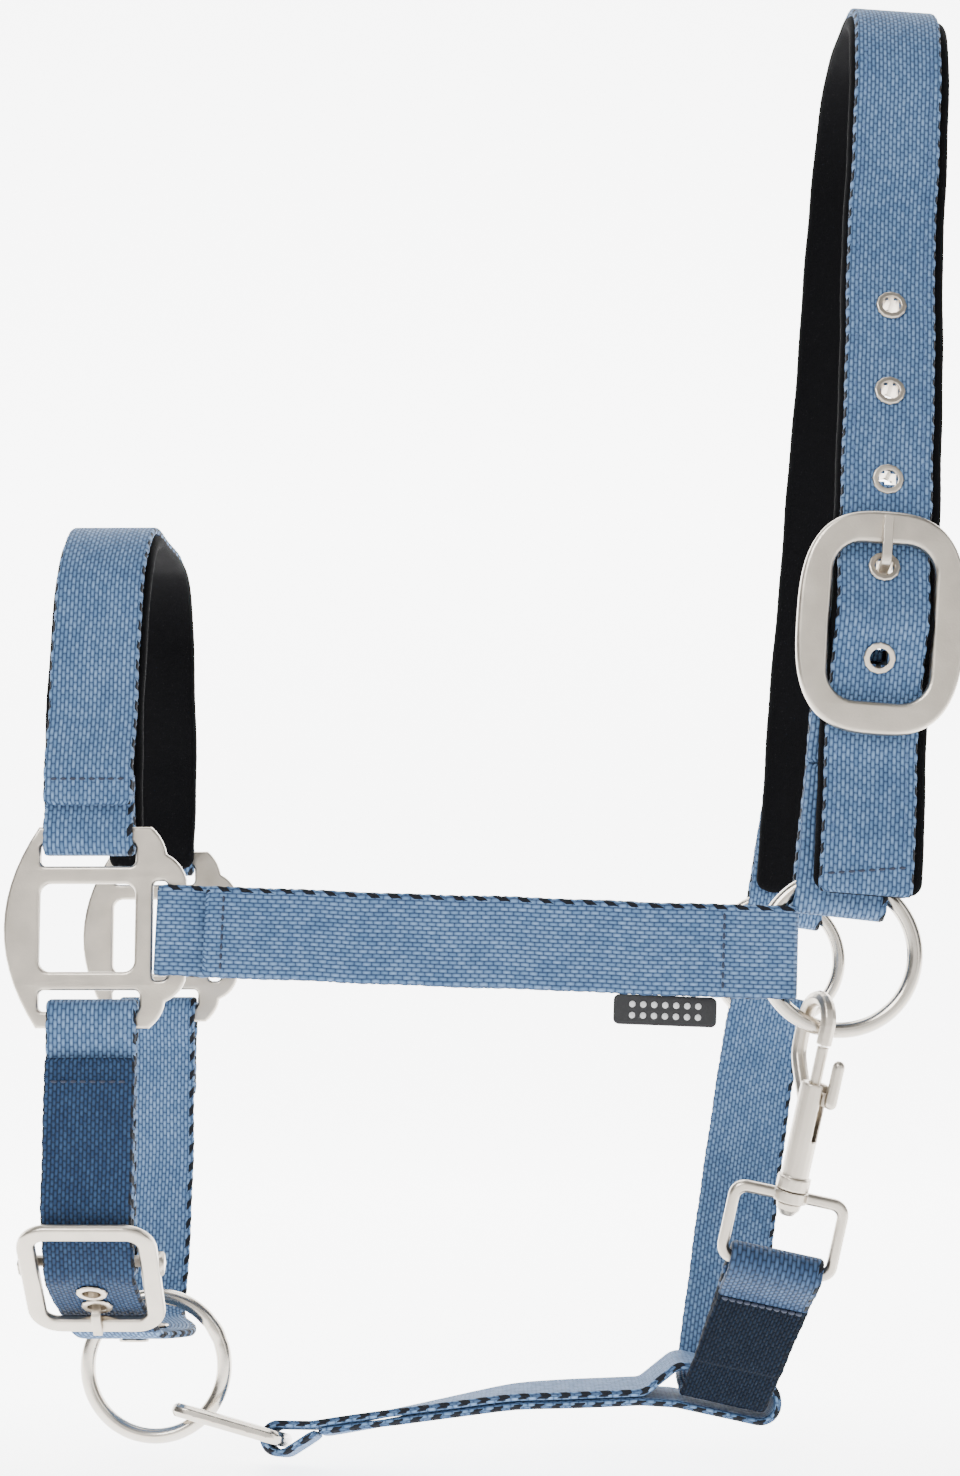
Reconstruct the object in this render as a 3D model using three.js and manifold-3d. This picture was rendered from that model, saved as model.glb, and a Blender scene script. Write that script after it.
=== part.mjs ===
// A padded webbing head halter for a horse, buckled up and standing open as if on the head.
// Millimetres. +X runs from the nose to the poll, +Y from the near (left) side to the far side,
// and +Z up. The origin is on the underside of the crown pad, where the halter rests on the poll.
import * as THREE from "three";
import { mergeVertices } from "three/addons/utils/BufferGeometryUtils.js";
import Module from "manifold-3d";

const wasm = await Module();
wasm.setup();

// ---- Driving dimensions ----
const webWidth = 25; // one-inch webbing
const web = 2.2; // webbing thickness
const pad = 4; // pad thickness
const crownPadWidth = 29.5;
const nosePadWidth = 28;
const gap = 0.3; // between pieces that touch
const layerPitch = web + gap; // between the middles of two webbing layers
const padPitch = web / 2 + gap + pad / 2; // webbing middle to pad middle

const ringOuter = 46; // cheek rings
const ringWire = 4.3;
const ringRadius = (ringOuter - ringWire) / 2;
const cheekRing = { x: 88.6, y: 73, z: 8.7 }; // y counts outwards from the middle plane
const leadRing = { x: -108, z: -113.8, outer: 45.6, wire: 4.5 };
const squareY = 59; // middle of the cast squares, outwards from the middle plane
const squarePlate = 2.6;

const crown = { x: 92.5, lean: 4.6, top: 301 }; // its foot, its lean in degrees and its webbing's height
const buckle = { y: -82, z: 99, plate: 3.2, outer: [46, 62], opening: [28, 44], barBack: 8, bar: 1.6 };
const chinBuckle = {
  y: -52.5,
  z: -81.6,
  plate: 2.8,
  outer: [39, 43],
  opening: [28.6, 33],
  barBack: 3.5,
  bar: 1.6,
  barAt: 3.5, // the bar is this far above the frame's middle
};
const chinX = -118.3; // middle of the chin strap where it hangs straight
const noseX = -120.1;
const throatLean = 12; // the throat strap and snap lean this far towards the poll

// The poll touches the crown pad's underside, straight above the crown's foot.
const radians = (angle) => (angle * Math.PI) / 180;
const padUnderside = crown.top - padPitch - pad / 2;
const poll = {
  x: crown.x + padUnderside * Math.sin(radians(crown.lean)),
  z: padUnderside * Math.cos(radians(crown.lean)),
};

// ---- Materials ----
const finish = (color, roughness, metalness) => new THREE.MeshStandardMaterial({ color, roughness, metalness });
const webbingBlue = finish(0x6f94c2, 0.75, 0);
const padBlack = finish(0x101012, 0.9, 0);
const nickel = finish(0xc8c2b6, 0.35, 1);
const springSteel = finish(0x9a9a9a, 0.4, 1);
const tagRubber = finish(0x1c1c1e, 0.6, 0);

// ---- Solids ----
function toSolid(geometry) {
  const bare = geometry.index ? geometry.toNonIndexed() : geometry.clone();
  bare.deleteAttribute("normal");
  bare.deleteAttribute("uv");
  const merged = mergeVertices(bare, 1e-4);
  return new wasm.Manifold(
    new wasm.Mesh({
      numProp: 3,
      vertProperties: merged.attributes.position.array,
      triVerts: new Uint32Array(merged.index.array),
    }),
  );
}

function toGeometry(solid) {
  const mesh = solid.getMesh();
  const geometry = new THREE.BufferGeometry();
  geometry.setAttribute("position", new THREE.BufferAttribute(mesh.vertProperties, 3));
  geometry.setIndex(new THREE.BufferAttribute(mesh.triVerts, 1));
  return geometry;
}

const join = (...pieces) => toGeometry(pieces.map(toSolid).reduce((a, b) => a.add(b)));
const cut = (piece, ...tools) => toGeometry(tools.map(toSolid).reduce((a, b) => a.subtract(b), toSolid(piece)));

function box(width, depth, height, x, y, z) {
  return new THREE.BoxGeometry(width, depth, height).translate(x, y, z);
}

// A cylinder on the X axis, or on the Z axis.
function barX(radius, length, y, z, sides = 12) {
  return new THREE.CylinderGeometry(radius, radius, length, sides).rotateZ(Math.PI / 2).translate(0, y, z);
}
function postZ(radius, low, high, sides = 16) {
  const post = new THREE.CylinderGeometry(radius, radius, high - low, sides);
  return post.rotateX(Math.PI / 2).translate(0, 0, (low + high) / 2);
}

// A turned piece on the Z axis from a closed outline of [radius, height] pairs.
function turned(outline, segments = 16) {
  const profile = outline.map(([radius, height]) => new THREE.Vector2(radius, height));
  if (THREE.ShapeUtils.isClockWise(profile)) profile.reverse(); // so that its faces point out
  profile.push(profile[0].clone());
  return new THREE.LatheGeometry(profile, segments).rotateX(Math.PI / 2);
}

// ---- Ribbons: straps, pads and tongues bent along a flat route ----

// Corners are [u, v, radius]; each corner with a radius is rounded by an arc.
function route(corners) {
  const points = corners.map(([u, v]) => new THREE.Vector2(u, v));
  const line = [points[0]];
  for (let i = 1; i < points.length - 1; i++) {
    const radius = corners[i][2] ?? 0;
    const back = points[i - 1].clone().sub(points[i]).normalize();
    const ahead = points[i + 1].clone().sub(points[i]).normalize();
    const inner = Math.acos(THREE.MathUtils.clamp(back.dot(ahead), -1, 1));
    const turn = Math.PI - inner;
    if (radius === 0 || turn < radians(2)) {
      line.push(points[i]);
      continue;
    }
    const centre = points[i].clone().add(
      back.clone().add(ahead).normalize().multiplyScalar(radius / Math.sin(inner / 2)),
    );
    const start = points[i].clone().addScaledVector(back, radius / Math.tan(inner / 2)).sub(centre);
    const sign = Math.sign(ahead.x * back.y - ahead.y * back.x);
    const steps = Math.max(1, Math.ceil(turn / radians(24)));
    for (let k = 0; k <= steps; k++) {
      line.push(start.clone().rotateAround(new THREE.Vector2(), (sign * turn * k) / steps).add(centre));
    }
  }
  line.push(points.at(-1));
  return line.filter((point, i) => i === 0 || point.distanceTo(line[i - 1]) > 0.05);
}

// The same line with points at most 8 mm apart, for a strap that is warped afterwards.
function closelySpaced(line) {
  return line.flatMap((point, i) => {
    if (i === line.length - 1) return [point];
    const count = Math.ceil(point.distanceTo(line[i + 1]) / 8);
    return Array.from({ length: count }, (_, k) => point.clone().lerp(line[i + 1], k / count));
  });
}

// The line moved sideways, to the right of its direction of travel.
function offsetLine(line, distance) {
  return line.map((point, i) => {
    const before = line[Math.max(i - 1, 0)];
    const after = line[Math.min(i + 1, line.length - 1)];
    const first = point.clone().sub(before).normalize();
    const second = after.clone().sub(point).normalize();
    const along = first.add(second).normalize();
    const miter = distance / Math.max(0.5, second.lengthSq() > 0 ? along.dot(second) : 1);
    return new THREE.Vector2(point.x + along.y * miter, point.y - along.x * miter);
  });
}

// The planes that straps bend in: u, v and the direction of the strap's width.
const axes = { x: new THREE.Vector3(1, 0, 0), y: new THREE.Vector3(0, 1, 0), z: new THREE.Vector3(0, 0, 1) };
const widthAlongX = new THREE.Matrix4().makeBasis(axes.y, axes.z, axes.x);
const widthAlongZ = new THREE.Matrix4().makeBasis(axes.x, axes.y, axes.z);
const widthAlongY = new THREE.Matrix4().makeBasis(axes.x, axes.z, axes.y.clone().negate());

// A long box with one cross-section moved onto each point of the line.
function ribbon(line, thickness, width, plane) {
  const spans = line.length - 1;
  const left = offsetLine(line, -thickness / 2);
  const right = offsetLine(line, thickness / 2);
  const geometry = new THREE.BoxGeometry(spans, thickness, width, spans);
  const position = geometry.attributes.position;
  for (let i = 0; i < position.count; i++) {
    const section = Math.round(position.getX(i) + spans / 2);
    const point = (position.getY(i) > 0 ? left : right)[section];
    position.setXY(i, point.x, point.y);
  }
  return geometry.applyMatrix4(plane);
}

// Where a line first reaches a value of its coordinate x or y, with its direction there.
function crossing(line, value, key = "y") {
  const i = line.findIndex((point, k) => k > 0 && (line[k - 1][key] - value) * (point[key] - value) <= 0);
  const share = (value - line[i - 1][key]) / (line[i][key] - line[i - 1][key]);
  const at = line[i - 1].clone().lerp(line[i], share);
  return { at, along: line[i].clone().sub(line[i - 1]).normalize() };
}

// Moves every point of a geometry by the vector that warp(point) returns.
function warped(geometry, warp) {
  const position = geometry.attributes.position;
  const point = new THREE.Vector3();
  for (let i = 0; i < position.count; i++) {
    point.fromBufferAttribute(position, i);
    point.add(warp(point));
    position.setXYZ(i, point.x, point.y, point.z);
  }
  return geometry;
}

// ---- Flat plates with bevelled edges, in the XZ plane, y being the thickness ----
function plate(shape, thickness, bevel) {
  const geometry = new THREE.ExtrudeGeometry(shape, {
    depth: thickness - 2 * bevel,
    bevelThickness: bevel,
    bevelSize: bevel,
    bevelOffset: -bevel,
    bevelSegments: 1,
    curveSegments: 3,
  });
  return geometry.translate(0, 0, bevel - thickness / 2).applyMatrix4(widthAlongY);
}

function roundedRect(width, height, radius, x = 0, y = 0, Kind = THREE.Shape) {
  const [w, h] = [width / 2, height / 2];
  const shape = new Kind();
  shape.moveTo(x - w + radius, y - h);
  shape.lineTo(x + w - radius, y - h);
  shape.absarc(x + w - radius, y - h + radius, radius, -Math.PI / 2, 0);
  shape.lineTo(x + w, y + h - radius);
  shape.absarc(x + w - radius, y + h - radius, radius, 0, Math.PI / 2);
  shape.lineTo(x - w + radius, y + h);
  shape.absarc(x - w + radius, y + h - radius, radius, Math.PI / 2, Math.PI);
  shape.lineTo(x - w, y - h + radius);
  shape.absarc(x - w + radius, y - h + radius, radius, Math.PI, 1.5 * Math.PI);
  return shape;
}

function superellipse(width, height, power, count) {
  const curl = (value) => Math.sign(value) * Math.abs(value) ** (2 / power);
  const points = Array.from({ length: count }, (_, i) => {
    const angle = (2 * Math.PI * i) / count;
    return new THREE.Vector2((width / 2) * curl(Math.cos(angle)), (height / 2) * curl(Math.sin(angle)));
  });
  return new THREE.Shape(points);
}

// ---- The assembly ----
const halter = new THREE.Group();
const layout = new THREE.Group(); // its zero is the middle plane, midway between nose and poll
layout.position.set(-poll.x, 0, -poll.z);
halter.add(layout);

function add(parent, name, geometry, material) {
  const mesh = new THREE.Mesh(geometry, material);
  mesh.name = name;
  parent.add(mesh);
  return mesh;
}

function frameAt(parent, [x, y, z], [turnX, turnY, turnZ] = [0, 0, 0]) {
  const group = new THREE.Group();
  group.position.set(x, y, z);
  group.rotation.set(radians(turnX), radians(turnY), radians(turnZ));
  parent.add(group);
  return group;
}

const sides = [
  { name: "near", out: -1 },
  { name: "far", out: 1 },
];

// ---- Rings ----
function ring(parent, name, outer, wire, [x, y, z]) {
  const geometry = new THREE.TorusGeometry((outer - wire) / 2, wire / 2, 8, 36).rotateX(Math.PI / 2);
  add(parent, name, geometry, nickel).position.set(x, y, z);
}
for (const side of sides) {
  ring(layout, side.name + "_cheek_ring", ringOuter, ringWire, [cheekRing.x, side.out * cheekRing.y, cheekRing.z]);
}
ring(layout, "chin_ring", leadRing.outer, leadRing.wire, [leadRing.x, 0, leadRing.z]);

// ---- Cast squares: three strap slots round one open window ----
const square = {
  left: -133.6, // of the slots and the window
  right: -106.7,
  noseBar: [39.8, 44.5], // heights of the bar that the noseband hangs on
  upperBar: [28.4, 33.4],
  lowerBar: [-1.4, 3.8],
  chinBar: [-12, -7.3],
  post: [-106.7, -101.7], // the upright between window and cheek slot
  cheekBar: [-97.5, -92.3],
};

function squareShape() {
  const shape = new THREE.Shape();
  shape.moveTo(-134.2, square.noseBar[1]);
  shape.quadraticCurveTo(-153.2, 16.2, -134.2, square.chinBar[0]);
  shape.lineTo(-102.4, square.chinBar[0]);
  shape.quadraticCurveTo(-98.4, -8.6, -98, -4.6);
  shape.quadraticCurveTo(-93.6, -2.6, square.cheekBar[1], 1.4);
  shape.lineTo(square.cheekBar[1], 29.6);
  shape.quadraticCurveTo(-93.6, 34.6, -98, 36.8);
  shape.quadraticCurveTo(-99, 41.6, -102.4, square.noseBar[1]);
  const hole = (x0, x1, z0, z1, radius) =>
    shape.holes.push(roundedRect(x1 - x0, z1 - z0, radius, (x0 + x1) / 2, (z0 + z1) / 2, THREE.Path));
  hole(square.left, square.right, square.upperBar[1], square.noseBar[0], 1.5);
  hole(square.left, square.right, square.lowerBar[1], square.upperBar[0], 3);
  hole(square.left, square.right + 1.6, square.chinBar[1], square.lowerBar[0], 1.5);
  hole(square.post[1], square.cheekBar[0], 1.4, 29.2, 1.5);
  return shape;
}
for (const side of sides) {
  add(layout, side.name + "_square", plate(squareShape(), squarePlate, 0.6), nickel).position.y = side.out * squareY;
}

// ---- Cheek straps: one strip from its hem round the ring, back, and round the square's bar ----
const cheekSlope = 2.2; // the straps fall this much towards the poll
const loopHalf = 2.8; // webbing middle to bar middle where it rounds a cast bar
const ringHalf = ringWire / 2 + gap + web / 2;
function cheekStrapLine(out) {
  const [bar, wire] = [squareY, cheekRing.y];
  const corners = [
    [-86.5, bar + 4.3],
    [55, wire + layerPitch / 2, 10],
    [62, wire + ringHalf, 6],
    [76.5, wire + ringHalf, ringHalf],
    [76.5, wire - ringHalf, ringHalf],
    [62, wire - ringHalf, 6],
    [55, wire - layerPitch / 2, 10],
    [-86, bar - 0.9, 8],
    [-91.5, bar - loopHalf, 5],
    [-99.9, bar - loopHalf, loopHalf],
    [-99.9, bar + loopHalf, loopHalf],
    [-91.5, bar + loopHalf, 5],
    [-86, bar + 1.7, 6],
    [-72, bar + 2.8],
  ];
  return route(corners.map(([x, y, radius]) => [x, out * y, radius]));
}
const cheeks = frameAt(layout, [0, 0, 11.6], [0, cheekSlope, 0]);
for (const side of sides) {
  const strap = ribbon(cheekStrapLine(side.out), web, webWidth, widthAlongZ);
  add(cheeks, side.name + "_cheek_strap", strap, webbingBlue);
}

const tag = { x: 41.8, length: 28.2, height: 8.2, thickness: 1.2 };
const tagBody = plate(roundedRect(tag.length, tag.height, 1.6), tag.thickness, 0.3);
add(cheeks, "size_tag", tagBody, tagRubber).position.set(tag.x, -72.2, -webWidth / 2 - gap - tag.height / 2);

// ---- Noseband: webbing over a pad, hung on both squares by short loops ----
const noseTop = 137;
const mirrored = (half) => [...half, ...half.toReversed().map(([u, v, radius]) => [-u, v, radius])];
const nose = frameAt(layout, [noseX, 0, 0]);
const noseWeb = [
  [-62.75, 50.6],
  [-62.75, 61, 10],
  [-57.9, 76, 20],
  [-45, noseTop, 32],
];
const nosePad = [
  [-52.6, 38],
  [-52.6, 47, 8],
  [-54.35, 57, 10],
  [-54.35, 74, 20],
  [-41.6, noseTop - padPitch, 28.6],
];
add(nose, "noseband_strap", ribbon(route(mirrored(noseWeb)), web, webWidth, widthAlongX), webbingBlue);
add(nose, "noseband_pad", ribbon(route(mirrored(nosePad)), pad, nosePadWidth, widthAlongX), padBlack);

// A strip round a bar at height v, its two tails lying together at height end.
function barLoop(middle, bar, half, widen, narrow, end) {
  return route([
    [middle - layerPitch / 2, end],
    [middle - layerPitch / 2, narrow, 6],
    [middle - half, widen, 4],
    [middle - half, bar, half],
    [middle + half, bar, half],
    [middle + half, widen, 4],
    [middle + layerPitch / 2, narrow, 6],
    [middle + layerPitch / 2, end],
  ]);
}
for (const side of sides) {
  const reach = square.noseBar[0] + 0.4 - loopHalf; // the loop's lowest middle
  const line = barLoop(side.out * squareY, reach, loopHalf, 44.4, 49.4, 60);
  add(nose, side.name + "_noseband_loop", ribbon(line, web, webWidth, widthAlongX), webbingBlue);
}

// ---- Crown: webbing and pad as one, from its free tail through the buckle and over the poll ----
const crownFrame = frameAt(layout, [crown.x, 0, 0], [0, crown.lean, 0]);
const behindBar = buckle.y + buckle.plate / 2 + 0.4 + web / 2; // webbing middle behind a buckle bar
const barY = buckle.y + buckle.barBack; // the buckle's hidden middle bar
const chapeHalf = 3.5; // chape middle to the middle bar that it rounds
const overBar = barY - chapeHalf - web / 2 - padPitch - pad / 2 - 1.4; // webbing middle in front of them
const crownRun = [
  [-83.6, 24.5],
  [-83.4, 38, 12],
  [behindBar, 60, 12],
  [behindBar, buckle.z - 20.6, 4],
  [overBar, buckle.z, 9],
  [behindBar, buckle.z + 20.6, 4],
  [behindBar, 136, 60],
  [-57.5, 215, 120],
  [-46, crown.top, 40],
  [42, crown.top, 40],
  [53, 190, 160],
];
const crownWebLine = route([...crownRun, [73.5, 84, 16], [76.75, 66, 10], [76.75, 50.5]]);
const crownPadLine = offsetLine(route([...crownRun, [69.6, 88, 16], [69.4, 30.5]]), padPitch);
const eyeletHeights = [193.5, 166.5, 139.7, 114.2, 89.4];
const eyelet = { bore: 2.75, tube: 3.25, hole: 3.6, flange: 4.6, lip: 0.7 };

// Each eyelet sits in the middle of the webbing and pad, square to them.
const stackMiddle = (gap + pad) / 2;
const crownEyelets = eyeletHeights.map((height) => {
  const { at, along } = crossing(crownWebLine, height);
  const inwards = new THREE.Vector2(along.y, -along.x);
  return { at: at.addScaledVector(inwards, stackMiddle), inwards };
});

// Turns a piece made on the Z axis to lie along direction in the YZ plane at a point of it.
function placedAcross(geometry, at, direction, x = 0) {
  const turn = Math.atan2(-direction.x, direction.y);
  return geometry.rotateX(turn).translate(x, at.x, at.y);
}

const grownBuckle = plate(superellipse(buckle.outer[0] + 1, buckle.outer[1] + 1, 2.8, 32), buckle.plate + 1, 0.1);
const grownOpening = plate(roundedRect(buckle.opening[0] - 1, buckle.opening[1] - 1, 7), buckle.plate + 2, 0.1);
const buckleRoom = cut(grownBuckle, grownOpening).translate(0, buckle.y, buckle.z);
const eyeletHoles = crownEyelets.map(({ at, inwards }) => placedAcross(postZ(eyelet.hole, -6, 6, 12), at, inwards));
const crownPad = ribbon(crownPadLine, pad, crownPadWidth, widthAlongX).translate(0.9, 0, 0);
const crownWeb = ribbon(crownWebLine, web, webWidth, widthAlongX);
add(crownFrame, "crown_strap", cut(crownWeb, ...eyeletHoles), webbingBlue);
add(crownFrame, "crown_pad", cut(crownPad, buckleRoom, ...eyeletHoles), padBlack);

function eyeletBody(stack) {
  const half = stack / 2 + gap;
  return turned(
    [
      [eyelet.bore, -half - eyelet.lip],
      [eyelet.flange - 0.4, -half - eyelet.lip],
      [eyelet.flange, -half],
      [eyelet.tube, -half],
      [eyelet.tube, half],
      [eyelet.flange, half],
      [eyelet.flange - 0.4, half + eyelet.lip],
      [eyelet.bore, half + eyelet.lip],
    ],
    12,
  );
}
crownEyelets.forEach(({ at, inwards }, i) => {
  const body = placedAcross(eyeletBody(web + gap + pad), at, inwards);
  add(crownFrame, "crown_eyelet_" + (i + 1), body, nickel);
});

// The oval buckle: a plate with a middle bar set back on two lugs.
function buckleFrame(size, outline, cornerRadius) {
  outline.holes.push(roundedRect(size.opening[0], size.opening[1], cornerRadius, 0, 0, THREE.Path));
  const lugX = size.opening[0] / 2 + 4.5;
  const lugDepth = size.barBack + size.bar;
  const barAt = size.barAt ?? 0;
  const lugs = [-1, 1].map((side) => box(3.2, lugDepth, 5, side * lugX, lugDepth / 2, barAt));
  return join(plate(outline, size.plate, 0.7), ...lugs, barX(size.bar, 2 * lugX, size.barBack, barAt));
}
const ovalFrame = buckleFrame(buckle, superellipse(buckle.outer[0], buckle.outer[1], 2.8, 40), 8);
add(crownFrame, "crown_buckle_frame", ovalFrame, nickel).position.set(0, buckle.y, buckle.z);

// The tongue curls round the middle bar, passes through the fourth eyelet and rests on the frame.
const tongue = { thickness: 1.8, width: 2.7 };
const crownCurl = buckle.bar + gap + tongue.thickness / 2;
const pin = crownEyelets[3];
const crownTongueLine = route([
  [barY - crownCurl, buckle.z + 1],
  [barY - crownCurl, buckle.z - crownCurl, crownCurl],
  [barY + crownCurl, buckle.z - crownCurl, crownCurl],
  [barY + crownCurl, buckle.z + 4, 3],
  [pin.at.x + 6.6 * pin.inwards.x, pin.at.y + 6.6 * pin.inwards.y, 2.6],
  [pin.at.x - 7 * pin.inwards.x, pin.at.y - 7 * pin.inwards.y, 2.2],
  [buckle.y - buckle.plate / 2 - 0.4 - tongue.thickness / 2, buckle.z + 29.5],
]);
const crownTongue = ribbon(crownTongueLine, tongue.thickness, tongue.width, widthAlongX);
add(crownFrame, "crown_buckle_tongue", crownTongue, nickel);

// The near chape ties the buckle's middle bar to the near cheek ring.
const chapeFrame = frameAt(layout, [86.4, 0, 0], [0, 6.5, 0]);
const ringLoopLow = cheekRing.z + 11; // the loop's lowest middle, below the ring's curve
const [chapeFront, chapeBack] = [-72.1, -69.6];
const nearChapeLine = route([
  [chapeFront, 60],
  [-73.25, 46, 10],
  [-cheekRing.y - ringHalf, 34, 6],
  [-cheekRing.y - ringHalf, ringLoopLow, ringHalf],
  [-cheekRing.y + ringHalf, ringLoopLow, ringHalf],
  [-cheekRing.y + ringHalf, 34, 6],
  [-70.75, 46, 10],
  [chapeBack, 62, 20],
  [chapeBack, 78, 15],
  [barY + chapeHalf, buckle.z - 2, 6],
  [barY + chapeHalf, buckle.z + 0.3 + chapeHalf, chapeHalf],
  [barY - chapeHalf, buckle.z + 0.3 + chapeHalf, chapeHalf],
  [barY - chapeHalf, buckle.z - 2.2, 2],
  [-73.3, 91, 4],
  [chapeFront, 81, 8],
  [chapeFront, 60.6],
]);
const tongueSlot = box(4.6, 14, 16, 2.8, barY - 2, buckle.z + 2);
const eyeletRoom = box(10.6, 6, 12, 3.1, -76.5, 90.5); // behind the lowest eyelet
const cheekRoom = box(4.6, 14, 4.2, -11, -cheekRing.y, 19.4); // where the cheek strap's loop ends
const nearChape = cut(ribbon(nearChapeLine, web, webWidth, widthAlongX), tongueSlot, eyeletRoom, cheekRoom);
add(chapeFrame, "near_crown_chape", nearChape, webbingBlue);

// The far end of the crown hangs on the far cheek ring by a short loop.
const farLoopFrame = frameAt(layout, [cheekRing.x, 0, cheekRing.z], [0, 9, 0]);
const farLoopMiddle = 72.65;
const farLoopLine = route([
  [farLoopMiddle - layerPitch / 2, 54],
  [farLoopMiddle - layerPitch / 2, 30, 6],
  [cheekRing.y - ringHalf, 21.5, 4],
  [cheekRing.y - ringHalf, 12.6, ringHalf],
  [cheekRing.y + ringHalf, 12.6, ringHalf],
  [cheekRing.y + ringHalf, 21.5, 4],
  [farLoopMiddle + layerPitch / 2, 30, 6],
  [farLoopMiddle + layerPitch / 2, 54],
]);
add(farLoopFrame, "far_crown_loop", ribbon(farLoopLine, web, webWidth, widthAlongX), webbingBlue);

// ---- Chin strap: from the far square, under the chin, up through the buckle ----
const chin = frameAt(layout, [chinX, 0, 0]);
const chinTilt = 42.5; // the chin buckle leans out at the bottom by this much
const [tiltSin, tiltCos] = [Math.sin(radians(chinTilt)), Math.cos(radians(chinTilt))];
// A point on the chin buckle: t towards its top bar, o outwards.
const onChinBuckle = (t, o, radius) => [
  chinBuckle.y - t * tiltSin - o * tiltCos,
  chinBuckle.z + t * tiltCos - o * tiltSin,
  radius,
];
const chinBehindBar = -3.4;
const chinOverBar = 2.9;
const chinBarReach = square.chinBar[1] - 0.4 + loopHalf; // highest middle of a loop on the chin bar
const tailY = -62.8;
const chinStrapLine = route([
  [squareY + layerPitch / 2, -36],
  [squareY + layerPitch / 2, -20, 6],
  [squareY + loopHalf, -13.6, 4],
  [squareY + loopHalf, chinBarReach, loopHalf],
  [squareY - loopHalf, chinBarReach, loopHalf],
  [squareY - loopHalf, -13.6, 4],
  [squareY - layerPitch / 2, -20, 6],
  [56.5, -60, 60],
  [49, -105.2, 22],
  [0, -104, 90],
  [-26, -101, 14],
  onChinBuckle(-16, chinBehindBar, 4),
  onChinBuckle(chinBuckle.barAt, chinOverBar, 8),
  onChinBuckle(16, chinBehindBar, 4),
  [tailY, -60, 8],
  [tailY, -20],
]);

// The strap's middle and inward direction where it reaches a distance across or a height.
function chinAcross(line, value, key) {
  const { at, along } = crossing(line, value, key);
  return { at, inwards: new THREE.Vector2(along.y, -along.x) };
}
const chinRise = chinStrapLine.filter((point) => point.x < -20);
const chinSag = chinStrapLine.filter((point) => point.y < -85);
const chinEyelets = [
  chinAcross(chinRise, onChinBuckle(-2.6, 1)[1], "y"),
  chinAcross(chinRise, onChinBuckle(-11.2, -1.4)[1], "y"),
  chinAcross(chinSag, -17, "x"),
  chinAcross(chinSag, 4, "x"),
];

// Between buckle and far side the chin strap is drawn towards the poll by the ring it carries.
const ringPull = 9;
const ringPullAt = (y) => (Math.abs(y) < 46 ? ringPull * Math.cos((Math.PI * y) / 92) ** 2 : 0);
const pulled = (point) => axes.x.clone().multiplyScalar(point.z < -85 ? ringPullAt(point.y) : 0);
const chinWeb = warped(ribbon(closelySpaced(chinStrapLine), web, webWidth, widthAlongX), pulled);
const chinPulls = chinEyelets.map(({ at }) => (at.y < -85 ? ringPullAt(at.x) : 0));
const chinHoles = chinEyelets.map(({ at, inwards }, i) =>
  placedAcross(postZ(eyelet.hole, -4, 4, 12), at, inwards, chinPulls[i]),
);
add(chin, "chin_strap", cut(chinWeb, ...chinHoles), webbingBlue);
chinEyelets.forEach(({ at, inwards }, i) => {
  const body = placedAcross(eyeletBody(web), at, inwards, chinPulls[i]);
  add(chin, "chin_eyelet_" + (i + 1), body, nickel);
});

const chinBar = onChinBuckle(chinBuckle.barAt, -chinBuckle.barBack);
const aroundBar = chinBuckle.bar + gap + web / 2;
const chinChapeLine = route([
  [-60.2, -38],
  [-60.2, -20, 6],
  [-squareY - loopHalf, -13.6, 4],
  [-squareY - loopHalf, chinBarReach, loopHalf],
  [-squareY + loopHalf, chinBarReach, loopHalf],
  [-squareY + loopHalf, -13.6, 4],
  [-57.7, -20, 6],
  [-57.7, -57, 10],
  onChinBuckle(chinBuckle.barAt + 3, -chinBuckle.barBack - aroundBar, 6),
  onChinBuckle(chinBuckle.barAt - aroundBar, -chinBuckle.barBack - aroundBar, aroundBar),
  onChinBuckle(chinBuckle.barAt - aroundBar, -chinBuckle.barBack + aroundBar, aroundBar),
  onChinBuckle(chinBuckle.barAt + 2, -chinBuckle.barBack + aroundBar, 3),
  onChinBuckle(chinBuckle.barAt + 9, -4.8, 6),
  [-60.2, -60, 8],
  [-60.2, -38.6],
]);
const chinSlot = box(4.6, 12, 13, 0, chinBar[0] + 1, chinBar[1] - 2);
const chinChape = cut(ribbon(chinChapeLine, web, webWidth, widthAlongX), chinSlot);
add(chin, "near_chin_chape", chinChape, webbingBlue);

const chinBuckleFrame = frameAt(chin, [0, chinBuckle.y, chinBuckle.z], [chinTilt, 0, 0]);
const chinFrameBody = buckleFrame(chinBuckle, roundedRect(chinBuckle.outer[0], chinBuckle.outer[1], 9), 3);
add(chinBuckleFrame, "chin_buckle_frame", chinFrameBody, nickel);

const chinTongue = { thickness: 1.4, width: 2.6 };
const chinCurl = chinBuckle.bar + gap + chinTongue.thickness / 2;
const chinTongueLine = route([
  onChinBuckle(chinBuckle.barAt - 1, -chinBuckle.barBack + chinCurl),
  onChinBuckle(chinBuckle.barAt + chinCurl, -chinBuckle.barBack + chinCurl, chinCurl),
  onChinBuckle(chinBuckle.barAt + chinCurl, -chinBuckle.barBack - chinCurl, chinCurl),
  onChinBuckle(chinBuckle.barAt - 4, -chinBuckle.barBack - chinCurl, 3),
  onChinBuckle(-11.2, -5.4, 2.4),
  onChinBuckle(-13.1, 2.6, 2),
  onChinBuckle(-20.5, chinBuckle.plate / 2 + 0.4 + chinTongue.thickness / 2),
]);
const chinTongueBody = ribbon(chinTongueLine, chinTongue.thickness, chinTongue.width, widthAlongX);
add(chin, "chin_buckle_tongue", chinTongueBody, nickel);

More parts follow.
